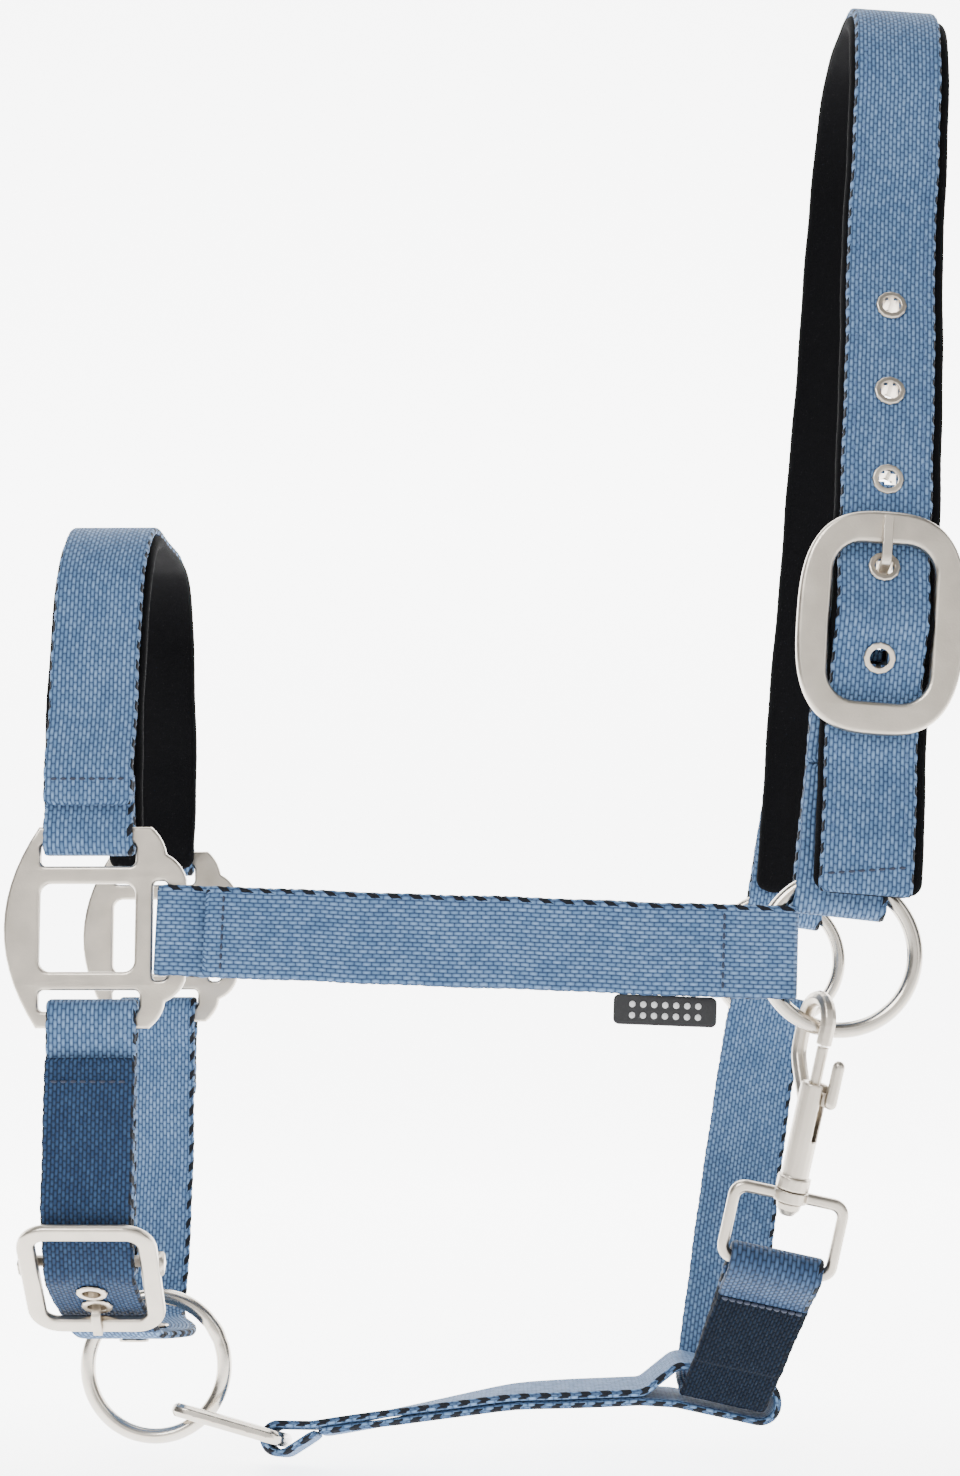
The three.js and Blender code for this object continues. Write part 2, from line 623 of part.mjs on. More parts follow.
// ---- Throat strap, from the far cheek ring down to the snap ----
const throat = frameAt(layout, [cheekRing.x, 0, cheekRing.z], [0, throatLean, 0]);
const snapTilt = 10; // the snap's foot leans in towards the throat strap
const snapAxis = -6.5; // the snap's middle line, outside the ring's wire
const eyeFoot = -65.4; // the swivel eye's foot bar, below the ring's wire
const [snapSin, snapCos] = [Math.sin(radians(snapTilt)), Math.cos(radians(snapTilt))];
const footBar = new THREE.Vector2(
  -cheekRing.y + snapAxis * snapCos - eyeFoot * snapSin,
  -ringRadius + snapAxis * snapSin + eyeFoot * snapCos,
);
const throatFoot = new THREE.Vector2(-14, -133.5); // where the near run leaves the jaw strap's loop
const rise = footBar.clone().sub(throatFoot).normalize();
const outwards = new THREE.Vector2(-rise.y, rise.x);
const byFoot = (back, out, radius) => [
  footBar.x - back * rise.x + out * outwards.x,
  footBar.y - back * rise.y + out * outwards.y,
  radius,
];
const footHalf = 3.5;
const throatLine = route([
  [68.9, -44],
  [72.3, -32, 8],
  [cheekRing.y + ringHalf, -21.5, 5],
  [cheekRing.y + ringHalf, -12.6, ringHalf],
  [cheekRing.y - ringHalf, -12.6, ringHalf],
  [cheekRing.y - ringHalf, -25, 6],
  [69.3, -30, 8],
  [66.1, -44.5, 40],
  [59.5, -62, 60],
  [39, -90, 60],
  [15, -131, 12],
  [throatFoot.x, throatFoot.y, 12],
  byFoot(12, -layerPitch / 2, 6),
  byFoot(3, -footHalf, 4),
  byFoot(-footHalf, -footHalf, footHalf),
  byFoot(-footHalf, footHalf, footHalf),
  byFoot(3, footHalf, 4),
  byFoot(12, layerPitch / 2, 6),
  byFoot(50, layerPitch / 2),
]);
// The loop on the far ring is cut away where the cheek strap's lower edge passes it.
const cheekEdgeRoom = box(35.6, 14, 16, -28.6, cheekRing.y, -4.9).rotateY(-radians(throatLean));
const throatWeb = ribbon(throatLine, web, webWidth, widthAlongX);
add(throat, "throat_strap", cut(throatWeb, cheekEdgeRoom), webbingBlue);

// ---- Bolt snap, hooked over the near cheek ring ----
const snap = frameAt(throat, [0, -cheekRing.y, -ringRadius], [snapTilt, 0, 0]);
const barrel = { radius: 3.85, bore: 2, top: -13.9, foot: -40, collar: -43.5, floor: -38 };
const hookWire = 2.2;
const snapYaw = 22; // the hook's leg stands behind the ring and towards the nose
const snapBody = frameAt(snap, [0, snapAxis, 0], [0, 0, snapYaw]);

function roundWire(line, radius, sides) {
  const points = line.map((point) => new THREE.Vector3(0, point.x, point.y));
  const circle = Array.from({ length: sides }, (_, i) => {
    const angle = (2 * Math.PI * i) / sides;
    return new THREE.Vector2(radius * Math.cos(angle), radius * Math.sin(angle));
  });
  const extrudePath = new THREE.CatmullRomCurve3(points, false, "centripetal");
  const steps = points.length * 2;
  return new THREE.ExtrudeGeometry(new THREE.Shape(circle), { steps, bevelEnabled: false, extrudePath });
}
const hookLine = route([
  [2.6, -20.5],
  [12.6, -9, 8],
  [12.6, 8, 6.3],
  [0, 8, 6.3],
  [0, -3.3],
]);
const barrelBody = turned([
  [barrel.bore, barrel.top],
  [barrel.radius, barrel.top],
  [barrel.radius, barrel.foot],
  [4.6, barrel.foot],
  [4.6, barrel.collar],
  [1.9, barrel.collar],
  [1.9, barrel.floor],
  [barrel.bore, barrel.floor],
]);
const lugTurn = radians(-60); // the thumb lug's direction from the snap's middle line
const slotTool = box(5, 2.5, 17, 3.4, 0, -20.9).rotateZ(lugTurn);
const boreTool = postZ(barrel.bore, barrel.floor, barrel.top + 1);
const hookBody = roundWire(hookLine, hookWire, 8);
add(snapBody, "snap_body", cut(join(barrelBody, hookBody), boreTool, slotTool), nickel);

const boltTop = -3.8;
const lug = { x: 6, radius: 1.7, low: -19.6, high: -6 };
const lugBody = new THREE.CapsuleGeometry(lug.radius, lug.high - lug.low - 2 * lug.radius, 3, 10);
lugBody.rotateX(Math.PI / 2).translate(lug.x, 0, (lug.low + lug.high) / 2);
const stem = box(lug.x, 1.8, 3.6, lug.x / 2, 0, -17.5);
const bolt = join(postZ(1.6, -24, boltTop, 12), stem, lugBody).rotateZ(lugTurn);
add(snapBody, "snap_bolt", bolt, nickel);

const coils = { turns: 5, radius: 1.25, wire: 0.25, low: -37.4, high: -24.6, steps: 6 };
const coilPoints = Array.from({ length: coils.turns * coils.steps + 1 }, (_, i) => {
  const angle = (2 * Math.PI * i) / coils.steps;
  const height = coils.low + ((coils.high - coils.low) * i) / (coils.turns * coils.steps);
  return new THREE.Vector3(coils.radius * Math.cos(angle), coils.radius * Math.sin(angle), height);
});
const coilSection = new THREE.Shape();
coilSection.absarc(0, 0, coils.wire, 0, 2 * Math.PI);
const springBody = new THREE.ExtrudeGeometry(coilSection, {
  steps: coils.turns * coils.steps,
  curveSegments: 2,
  bevelEnabled: false,
  extrudePath: new THREE.CatmullRomCurve3(coilPoints),
});
add(snapBody, "snap_spring", springBody, springSteel);

const eye = { width: 33, wire: 3, top: -43.8, boss: 3.2, hole: 1.85 };
const rivet = turned([
  [0, barrel.floor + 0.3],
  [0, eye.top - eye.boss - 4.2],
  [1.8, eye.top - eye.boss - 3.8],
  [3.2, eye.top - eye.boss - 2],
  [3.5, eye.top - eye.boss - 0.3],
  [1.5, eye.top - eye.boss - 0.3],
  [1.5, barrel.floor + 0.3],
]);
add(snapBody, "swivel_rivet", rivet, nickel);

const eyeHeight = eye.top - eyeFoot + eye.wire / 2;
const eyeShape = roundedRect(eye.width, eyeHeight, 4.5, 0, 0);
eyeShape.holes.push(
  roundedRect(eye.width - 2 * eye.wire, eyeHeight - eye.wire - eye.boss, 2, 0, (eye.wire - eye.boss) / 2, THREE.Path),
);
const eyeMiddle = eye.top - eyeHeight / 2;
const boss = postZ(4.6, eyeHeight / 2 - eye.boss, eyeHeight / 2, 16);
const bossHole = postZ(eye.hole, 0, eyeHeight, 12);
const eyeBody = cut(join(plate(eyeShape, eye.wire, 0.8), boss), bossHole).translate(0, snapAxis, eyeMiddle);
add(snap, "swivel_eye", eyeBody, nickel);

// ---- Link and jaw strap, from the chin ring to the throat strap ----
const link = { left: [-99.5, -127.2], right: [-70.1, -135.2], wire: 4, width: 31 };
const linkLength = Math.hypot(link.right[0] - link.left[0], link.right[1] - link.left[1]);
const linkSlope = (Math.atan2(link.left[1] - link.right[1], link.right[0] - link.left[0]) * 180) / Math.PI;
const jawRoll = 12; // the far side of the link and of the strap's end hangs lower
const linkShape = roundedRect(linkLength + link.wire, link.width + link.wire, 5);
linkShape.holes.push(roundedRect(linkLength - link.wire, link.width - link.wire, 1, 0, 0, THREE.Path));
const linkBody = plate(linkShape, link.wire, 1.1).rotateX(Math.PI / 2).translate(-linkLength / 2, 0, 0);
const linkRolled = frameAt(layout, [link.right[0], 0, link.right[1]], [-jawRoll, 0, 0]);
add(frameAt(linkRolled, [0, 0, 0], [0, linkSlope, 0]), "chin_link", linkBody, nickel);

const jawLoopHalf = link.wire / 2 + gap + web / 2 + 0.3;
const jawLine = route([
  [-58, -133.2],
  [-35, -129.7, 60],
  [0, -123.6, 80],
  [37, -122, 10],
  [47.5, -122.6, 10],
  [78.6, -129.2, 5.4],
  [76.6, -117.2, 5],
  [48.5, -111.2, 5],
  [38, -119.4, 5],
  [0, -121, 80],
  [-35, -127.1, 60],
  [-60, -131.2, 10],
  [link.right[0] + 1, link.right[1] + jawLoopHalf, 4],
  [link.right[0] - jawLoopHalf, link.right[1] + jawLoopHalf + 0.4, jawLoopHalf],
  [link.right[0] - jawLoopHalf, link.right[1] - jawLoopHalf, jawLoopHalf],
  [link.right[0] + 2, link.right[1] - jawLoopHalf, 4],
  [-59, -133.5],
]);
const rollShare = (x) => THREE.MathUtils.smoothstep(-x, -20, 60);
const rolled = (point) => axes.z.clone().multiplyScalar(-point.y * Math.tan(radians(jawRoll)) * rollShare(point.x));
const jawBody = warped(ribbon(closelySpaced(jawLine), web, webWidth, widthAlongY), rolled);
add(layout, "jaw_strap", jawBody, webbingBlue);

export default halter;
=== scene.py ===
"""Looks of the padded webbing head halter: woven straps, padding, stitching and satin nickel castings.
Strap routes are in millimetres in the part's layout, whose zero is midway between nose and poll."""
import math

import bmesh
import bpy
import numpy as np
from mathutils import Euler, Matrix, Vector


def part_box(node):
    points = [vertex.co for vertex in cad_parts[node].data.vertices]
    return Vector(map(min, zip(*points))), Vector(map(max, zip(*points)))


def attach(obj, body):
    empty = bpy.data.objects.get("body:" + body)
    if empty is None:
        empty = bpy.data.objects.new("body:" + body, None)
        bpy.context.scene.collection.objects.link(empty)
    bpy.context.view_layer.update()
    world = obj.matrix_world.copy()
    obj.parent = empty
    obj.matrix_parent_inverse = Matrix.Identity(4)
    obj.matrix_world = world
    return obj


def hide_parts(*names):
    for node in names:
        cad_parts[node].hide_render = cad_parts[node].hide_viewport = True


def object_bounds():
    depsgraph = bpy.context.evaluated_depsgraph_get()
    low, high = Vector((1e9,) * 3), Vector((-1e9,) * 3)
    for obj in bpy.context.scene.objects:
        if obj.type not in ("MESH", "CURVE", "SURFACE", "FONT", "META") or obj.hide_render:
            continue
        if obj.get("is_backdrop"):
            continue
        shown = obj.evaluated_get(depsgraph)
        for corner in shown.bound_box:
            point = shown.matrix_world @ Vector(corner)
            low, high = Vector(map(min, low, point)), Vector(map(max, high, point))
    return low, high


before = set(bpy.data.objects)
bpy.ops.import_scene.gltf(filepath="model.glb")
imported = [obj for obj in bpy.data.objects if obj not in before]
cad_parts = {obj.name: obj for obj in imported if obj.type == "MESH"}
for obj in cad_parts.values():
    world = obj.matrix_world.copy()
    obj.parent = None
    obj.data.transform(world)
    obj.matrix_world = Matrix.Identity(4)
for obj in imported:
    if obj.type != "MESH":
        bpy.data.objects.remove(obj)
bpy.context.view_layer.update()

# ---- Driving dimensions, in millimetres ----
MM = 0.001
WEB_WIDTH = 25.0
WEB = 2.2
PAD = 4.0
GAP = 0.3
PITCH = WEB + GAP  # between the middles of two webbing layers
PAD_PITCH = WEB / 2 + GAP + PAD / 2
SURFACE = WEB / 2 + 0.12  # webbing middle to the height at which its stitches lie
ROW_HALF = 10.8  # strap's middle to the end of a row of stitches across it
RING = {"x": 88.6, "y": 73.0, "z": 8.7, "outer": 46.0, "wire": 4.3, "weld": 250.0}
CHIN_RING = {"x": -108.0, "z": -113.8, "outer": 45.6, "wire": 4.5, "weld": 30.0}
RING_RADIUS = (RING["outer"] - RING["wire"]) / 2
RING_HALF = RING["wire"] / 2 + GAP + WEB / 2  # webbing middle to the middle of the wire it rounds
SQUARE_Y = 59.0
SQUARE_PLATE = 3.0
LOOP_HALF = 2.8  # webbing middle to the middle of the cast bar it rounds
BUCKLE = {
    "y": -82.0, "z": 99.0, "plate": 3.2, "outer": (46, 62), "opening": (28, 44),
    "back": 8.0, "bar_at": 0,  # the middle bar's depth behind the plate, and its height on it
}
CHIN_BUCKLE = {
    "y": -52.5, "z": -81.6, "plate": 2.8, "outer": (39, 43), "opening": (28.6, 33),
    "back": 3.5, "bar_at": 3.5,
}
BUCKLE_BAR = 1.6  # radius of both buckles' middle bars
CHIN_X = -118.3
CHIN_TILT = 42.5
NOSE_X = -120.1
NOSE_TOP = 137.0
LEAN = 4.6
THROAT_LEAN = 12.0
SNAP_LEAN = 10.0
CROWN_TOP = 301.0
LINK = {"x": -70.1, "z": -135.2, "wire": 4, "roll": 12}
PAD_UNDERSIDE = CROWN_TOP - PAD_PITCH - PAD / 2
POLL = Vector((
    92.5 + PAD_UNDERSIDE * math.sin(math.radians(LEAN)),
    0,
    PAD_UNDERSIDE * math.cos(math.radians(LEAN)),
))

LAYOUT = Matrix.Scale(MM, 4) @ Matrix.Translation(-POLL)


def placed(parent, position, turn=(0, 0, 0)):
    """A frame inside another: moved to position, then turned by degrees about X, Y and Z."""
    angles = [math.radians(angle) for angle in turn]
    return parent @ Matrix.Translation(position) @ Euler(angles, "ZYX").to_matrix().to_4x4()


# ---- Routes: flat lines that straps follow ----
def route(corners, bend=5.0):
    """A line through corners (u, v, radius), each corner with a radius rounded by an arc."""
    points = [Vector(corner[:2]) for corner in corners]
    line = [points[0]]
    for i in range(1, len(points) - 1):
        radius = corners[i][2] if len(corners[i]) > 2 else 0
        back = (points[i - 1] - points[i]).normalized()
        ahead = (points[i + 1] - points[i]).normalized()
        inner = math.acos(max(-1.0, min(1.0, back.dot(ahead))))
        turn = math.pi - inner
        if radius == 0 or turn < math.radians(1):
            line.append(points[i])
            continue
        centre = points[i] + (back + ahead).normalized() * (radius / math.sin(inner / 2))
        start = points[i] + back * (radius / math.tan(inner / 2)) - centre
        sign = math.copysign(1, ahead.x * back.y - ahead.y * back.x)
        steps = max(1, math.ceil(turn / math.radians(bend)))
        for k in range(steps + 1):
            angle = sign * turn * k / steps
            cosine, sine = math.cos(angle), math.sin(angle)
            turned = Vector((start.x * cosine - start.y * sine, start.x * sine + start.y * cosine))
            line.append(turned + centre)
    line.append(points[-1])
    return [p for i, p in enumerate(line) if i == 0 or (p - line[i - 1]).length > 0.02]


def spaced(line, step=1.0):
    """The same line with points at equal steps."""
    points = np.array([tuple(p) for p in line])
    lengths = np.linalg.norm(np.diff(points, axis=0), axis=1)
    along = np.concatenate([[0], np.cumsum(lengths)])
    count = max(2, int(round(along[-1] / step)) + 1)
    where = np.linspace(0, along[-1], count)
    return np.stack([np.interp(where, along, points[:, k]) for k in range(2)], axis=1), where


def rightwards(points):
    """The unit vector to the right of the direction of travel, at each point."""
    ahead = np.gradient(points, axis=0)
    ahead /= np.linalg.norm(ahead, axis=1)[:, None]
    return np.stack([ahead[:, 1], -ahead[:, 0]], axis=1)


def moved_sideways(line, distance):
    points, _ = spaced(line, 0.8)
    return [Vector(p) for p in points + rightwards(points) * distance]


ALONG_X = ((0, 0, 1), (1, 0, 0), (0, 1, 0))  # rows x, y, z of the columns u, v, width
ALONG_Z = ((1, 0, 0), (0, 1, 0), (0, 0, 1))
ALONG_Y = ((1, 0, 0), (0, 0, -1), (0, 1, 0))


# ---- Objects ----
def finished(obj, body, material, slot, *nodes):
    obj.data.materials.clear()
    obj.data.materials.append(material)
    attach(obj, body)
    if nodes:
        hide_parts(*nodes)
    return obj


def linked(name, mesh):
    obj = bpy.data.objects.new(name, mesh)
    bpy.context.scene.collection.objects.link(obj)
    return obj


def smooth(mesh):
    mesh.polygons.foreach_set("use_smooth", [True] * len(mesh.polygons))


def section(width, thickness, rounding, count):
    """A rounded strap section: (across, through) pairs going round once."""
    half, deep = width / 2, thickness / 2
    flat = np.linspace(-half + rounding, half - rounding, count)
    corner = [math.radians(a) for a in (22.5, 45, 67.5)]
    top = [(a, deep) for a in flat]
    side, level = half - rounding, deep - rounding
    right = [(side + rounding * math.sin(a), level + rounding * math.cos(a)) for a in corner]
    right.append((half, level))
    if level > 0.05:
        right.append((half, -level))
    right += [(x, -y) for x, y in reversed(right[:3])]
    bottom = [(a, -deep) for a in flat[::-1]]
    left = [(-x, -y) for x, y in right]
    return top + right + bottom + left


CORD_STEP = 6.0  # from one dark stitch of the edge cord to the next


def strap(name, line, place, plane, width=WEB_WIDTH, thickness=WEB, rounding=0.9, scallop=0.5,
          step=1.0, warp=None, gone=None, shift=0.0, puff=0.0, tip=0.8):
    """A strap bent along a line. Its UV map holds millimetres along and across.
    scallop is how far its edges swell between the stitches of the edge cord, and puff crowns its middle.
    warp moves a point in the frame, and shift moves the whole strap across it.
    gone says which faces are left out, as for an eyelet's hole. tip rounds the corners of its ends."""
    points, along = spaced(line, step)
    sideways = rightwards(points)
    outline = section(width, thickness, rounding, 16)
    basis = np.array(plane, float)
    vertices = []
    uvs = []
    for i, s in enumerate(along):
        bulge = scallop * abs(math.sin(math.pi * s / CORD_STEP)) - scallop / 2
        end = min(s, along[-1] - s)
        squeeze = 1.0 - 0.3 * max(0.0, 1.0 - end / 1.5)
        inset = tip - math.sqrt(max(0.0, tip ** 2 - (tip - min(end, tip)) ** 2))
        sway = 0.14 * math.sin(s / 11.0) + 0.08 * math.sin(s / 4.3 + 1.0)
        for a, b in outline:
            edge = min(1.0, max(0.0, (abs(a) - width / 2 + 1.6) / 1.6))
            wide = a * (1 - 2 * inset / width) + math.copysign(bulge * edge, a) + sway
            soft = 1.0 + puff * math.cos(math.pi * a / width) * (1.0 + 0.3 * math.sin(s / 9.0))
            u, v = points[i] - sideways[i] * b * squeeze * soft
            vertices.append(basis @ np.array([u, v, wide + shift]))
            uvs.append((s, a + (0.8 if b < 0 else 0.0)))
    if warp:
        vertices = [np.array(p) + warp(p) for p in vertices]
    n = len(outline)
    faces = []
    for i in range(len(along) - 1):
        for k in range(n):
            quad = (i * n + k, i * n + (k + 1) % n, (i + 1) * n + (k + 1) % n, (i + 1) * n + k)
            if gone and gone(np.mean([vertices[q] for q in quad], axis=0)):
                continue
            faces.append(quad)
    faces.append(tuple(range(n))[::-1])
    faces.append(tuple((len(along) - 1) * n + k for k in range(n)))
    mesh = bpy.data.meshes.new(name)
    mesh.from_pydata([tuple(p) for p in vertices], [], faces)
    layer = mesh.uv_layers.new(name="weave")
    corners = [uvs[loop.vertex_index] for loop in mesh.loops]
    layer.data.foreach_set("uv", [value for pair in corners for value in pair])
    mesh.transform(place)
    smooth(mesh)
    fix = bmesh.new()
    fix.from_mesh(mesh)
    bmesh.ops.recalc_face_normals(fix, faces=fix.faces)
    fix.to_mesh(mesh)
    fix.free()
    return linked(name, mesh)


def second_finish(obj, place, material, chosen):
    """Gives another finish to the faces whose middle, in the strap's own frame, is chosen."""
    obj.data.materials.append(material)
    to_strap = place.inverted()
    for face in obj.data.polygons:
        if chosen(to_strap @ face.center):
            face.material_index = len(obj.data.materials) - 1


def plate(name, outlines, thickness, bevel, place):
    """A flat casting with rounded edges, in the XZ plane: first outline its rim, the others its holes."""
    curve = bpy.data.curves.new(name, "CURVE")
    curve.dimensions = "2D"
    curve.fill_mode = "BOTH"
    curve.extrude = thickness / 2 - bevel
    curve.bevel_depth = bevel
    curve.bevel_resolution = 4
    curve.offset = -bevel
    for outline in outlines:
        spline = curve.splines.new("POLY")
        spline.points.add(len(outline) - 1)
        for point, (x, z) in zip(spline.points, outline):
            point.co = (x, z, 0, 1)
        spline.use_cyclic_u = True
    source = bpy.data.objects.new(name + "_curve", curve)
    bpy.context.scene.collection.objects.link(source)
    bpy.context.view_layer.update()
    mesh = bpy.data.meshes.new_from_object(source)
    bpy.data.objects.remove(source)
    weld = bmesh.new()
    weld.from_mesh(mesh)
    bmesh.ops.remove_doubles(weld, verts=weld.verts, dist=0.01)
    bmesh.ops.recalc_face_normals(weld, faces=weld.faces)
    weld.to_mesh(mesh)
    weld.free()
    mesh.transform(place @ Matrix.Rotation(math.radians(90), 4, "X"))
    smooth(mesh)
    mesh.set_sharp_from_angle(angle=math.radians(35))
    return linked(name, mesh)


def cast(name, node, voxel, rounds):
    """The CAD node's shape with its edges worn round, as on a tumbled casting."""
    obj = linked(name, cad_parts[node].data.copy())
    remesh = obj.modifiers.new("even", "REMESH")
    remesh.mode = "VOXEL"
    remesh.voxel_size = voxel * MM
    remesh.use_smooth_shade = True
    soften = obj.modifiers.new("soften", "SMOOTH")
    soften.factor = 0.5
    soften.iterations = rounds
    bpy.context.view_layer.update()
    evaluated = obj.evaluated_get(bpy.context.evaluated_depsgraph_get())
    mesh = bpy.data.meshes.new_from_object(evaluated)
    obj.modifiers.clear()
    obj.data = mesh
    smooth(mesh)
    return obj


def torus(name, size, centre):
    """A wire ring in the XZ plane. Its butt weld is a bead with a slight neck on each side."""
    radius, half = (size["outer"] - size["wire"]) / 2, size["wire"] / 2
    around, through = 120, 28
    vertices = []
    for i in range(around):
        angle = 2 * math.pi * i / around
        away = abs((math.degrees(angle) - size["weld"] + 180) % 360 - 180)
        bead = 0.06 * math.exp(-((away / 4.0) ** 2))
        neck = 0.05 * math.exp(-(((away - 9) / 2.0) ** 2))
        swell = 1.0 + bead - neck
        for k in range(through):
            turn = 2 * math.pi * k / through
            reach = radius + half * swell * math.cos(turn)
            vertices.append((
                centre[0] + reach * math.cos(angle),
                centre[1] + half * swell * math.sin(turn),
                centre[2] + reach * math.sin(angle),
            ))
    faces = []
    for i in range(around):
        for k in range(through):
            j, m = (i + 1) % around, (k + 1) % through
            faces.append((i * through + k, i * through + m, j * through + m, j * through + k))
    mesh = bpy.data.meshes.new(name)
    mesh.from_pydata(vertices, [], faces)
    mesh.transform(LAYOUT)
    smooth(mesh)
    return linked(name, mesh)


def stitches(name, runs, place, material, thread=0.42, pitch=2.6, length=1.9):
    """Rows of thread stitches. Each run is a list of points in the frame, just above the webbing."""
    built = bmesh.new()
    for run in runs:
        points = [Vector(p) for p in run]
        for start, end in zip(points, points[1:]):
            span = end - start
            count = max(1, int(span.length / pitch))
            turn = span.to_track_quat("Z", "Y").to_matrix().to_4x4()
            for i in range(count):
                middle = start + span * ((i + 0.5) / count)
                stretch = Matrix.Diagonal((thread, thread, length / 2, 1))
                bmesh.ops.create_icosphere(built, subdivisions=2, radius=1,
                                           matrix=Matrix.Translation(middle) @ turn @ stretch)
    mesh = bpy.data.meshes.new(name)
    built.to_mesh(mesh)
    built.free()
    mesh.transform(place)
    smooth(mesh)
    return finished(linked(name, mesh), "root", material, "webbing_blue")


# ---- Materials ----
class Shader:
    """A material's node tree, with short calls for the nodes used here."""

    def __init__(self, name):
        self.material = bpy.data.materials.new(name)
        self.material.use_nodes = True
        self.nodes = self.material.node_tree.nodes
        self.links = self.material.node_tree.links
        self.surface = self.nodes["Principled BSDF"]

    def put(self, socket, value):
        if isinstance(value, bpy.types.NodeSocket):
            self.links.new(value, socket)
        else:
            socket.default_value = value

    def math(self, operation, a, b=0.0, c=0.0):
        node = self.nodes.new("ShaderNodeMath")
        node.operation = operation
        for socket, value in zip(node.inputs, (a, b, c)):
            self.put(socket, value)
        return node.outputs[0]

    def noise(self, vector, scale, detail=2.0):
        node = self.nodes.new("ShaderNodeTexNoise")
        self.put(node.inputs["Vector"], vector)
        node.inputs["Scale"].default_value = scale
        node.inputs["Detail"].default_value = detail
        return node.outputs["Fac"]

    def mix(self, share, a, b):
        node = self.nodes.new("ShaderNodeMix")
        node.data_type = "RGBA"
        self.put(node.inputs["Factor"], share)
        self.put(node.inputs["A"], a)
        self.put(node.inputs["B"], b)
        return node.outputs["Result"]

    def place(self):
        return self.nodes.new("ShaderNodeTexCoord").outputs["Object"]

    def bump(self, height, distance, strength=1.0):
        node = self.nodes.new("ShaderNodeBump")
        self.put(node.inputs["Height"], height)
        node.inputs["Distance"].default_value = distance
        node.inputs["Strength"].default_value = strength
        self.links.new(node.outputs["Normal"], self.surface.inputs["Normal"])

    def set(self, **values):
        for name, value in values.items():
            self.put(self.surface.inputs[name.replace("_", " ")], value)


CORD_BLACK = (0.004, 0.005, 0.008, 1)


def toned(color, share):
    """The colour at a share of its brightness, opaque."""
    return (*(share * channel for channel in color), 1)


def webbing(name, gap_shade, low, high, float_length=2.5, column=1.15, shine=0.14):
    """Flat webbing: staggered warp floats, a corded selvedge and a little dirt and fading.
    Its colours are the painted shade in the hollows between the yarns, the dullest yarn and the brightest."""
    shader = Shader(name)
    uv = shader.nodes.new("ShaderNodeUVMap")
    uv.uv_map = "weave"
    split = shader.nodes.new("ShaderNodeSeparateXYZ")
    shader.links.new(uv.outputs[0], split.inputs[0])
    wander = shader.noise(shader.place(), 420.0, 1.0)
    shift = shader.math("MULTIPLY", shader.math("SUBTRACT", wander, 0.5), 0.7)
    along = shader.math("ADD", split.outputs[0], shift)
    across = shader.math("ADD", split.outputs[1], shader.math("MULTIPLY", shift, 0.3))
    columns = shader.math("DIVIDE", across, column)
    number = shader.math("FLOOR", columns)
    odd = shader.math("FLOORED_MODULO", number, 2.0)
    lengths = shader.math("MULTIPLY_ADD", odd, 0.5, shader.math("DIVIDE", along, float_length))
    on_float = shader.math("FRACT", lengths)
    on_column = shader.math("FRACT", columns)
    swell = shader.math("POWER", shader.math("SINE", shader.math("MULTIPLY", on_float, math.pi)), 0.6)
    ridge = shader.math("POWER", shader.math("SINE", shader.math("MULTIPLY", on_column, math.pi)), 0.8)
    height = shader.math("MULTIPLY", swell, ridge)
    yarn = shader.nodes.new("ShaderNodeTexWhiteNoise")
    yarn.noise_dimensions = "2D"
    which = shader.nodes.new("ShaderNodeCombineXYZ")
    shader.links.new(shader.math("FLOOR", lengths), which.inputs[0])
    shader.links.new(number, which.inputs[1])
    shader.links.new(which.outputs[0], yarn.inputs["Vector"])
    fade = shader.noise(shader.place(), 30.0, 3.0)
    tone = shader.math("MULTIPLY_ADD", yarn.outputs["Value"], 0.45, shader.math("MULTIPLY", fade, 0.5))
    color = shader.mix(tone, low, high)
    # painted shade: the weave's hollows darken towards the gap colour
    color = shader.mix(shader.math("POWER", height, 0.8), gap_shade, color)
    edge = shader.math("ABSOLUTE", split.outputs[1])
    at_edge = shader.math("GREATER_THAN", edge, WEB_WIDTH / 2 - 0.6)
    wavering = shader.math("MULTIPLY_ADD", shift, 2.5, split.outputs[0])
    slanted = shader.math("MULTIPLY_ADD", edge, 1.4, wavering)
    dash = shader.math("FRACT", shader.math("DIVIDE", slanted, CORD_STEP))
    cord = shader.math("MULTIPLY", at_edge, shader.math("GREATER_THAN", dash, 0.52))
    color = shader.mix(cord, color, CORD_BLACK)
    shader.set(Base_Color=color, Roughness=0.7, Specular_IOR_Level=shine)
    shader.bump(height, 0.00042, 0.9)
    return shader.material


def padding(name, color):
    """Padded lining cloth: matt, with a fine grain and shallow dents."""
    shader = Shader(name)
    place = shader.place()
    grain = shader.noise(place, 2600.0, 2.0)
    dents = shader.noise(place, 90.0, 3.0)
    tone = shader.mix(grain, toned(color, 0.6), toned(color, 1.6))
    shader.set(Base_Color=tone, Roughness=0.95, Specular_IOR_Level=0.06)
    shader.bump(shader.math("MULTIPLY_ADD", dents, 1.6, grain), 0.00022, 0.8)
    return shader.material


def nickel(name, color, grain_size, grain_depth, low_roughness, high_roughness):
    """Satin metal, duller and rougher in soft patches."""
    shader = Shader(name)
    place = shader.place()
    grain = shader.noise(place, grain_size, 3.0)
    patches = shader.noise(place, 160.0, 4.0)
    spread = shader.math("MULTIPLY_ADD", patches, high_roughness - low_roughness, low_roughness)
    tone = shader.mix(patches, toned(color, 0.72), toned(color, 1))
    shader.set(Base_Color=tone, Metallic=1.0, Roughness=spread)
    shader.bump(grain, grain_depth, 0.6)
    return shader.material


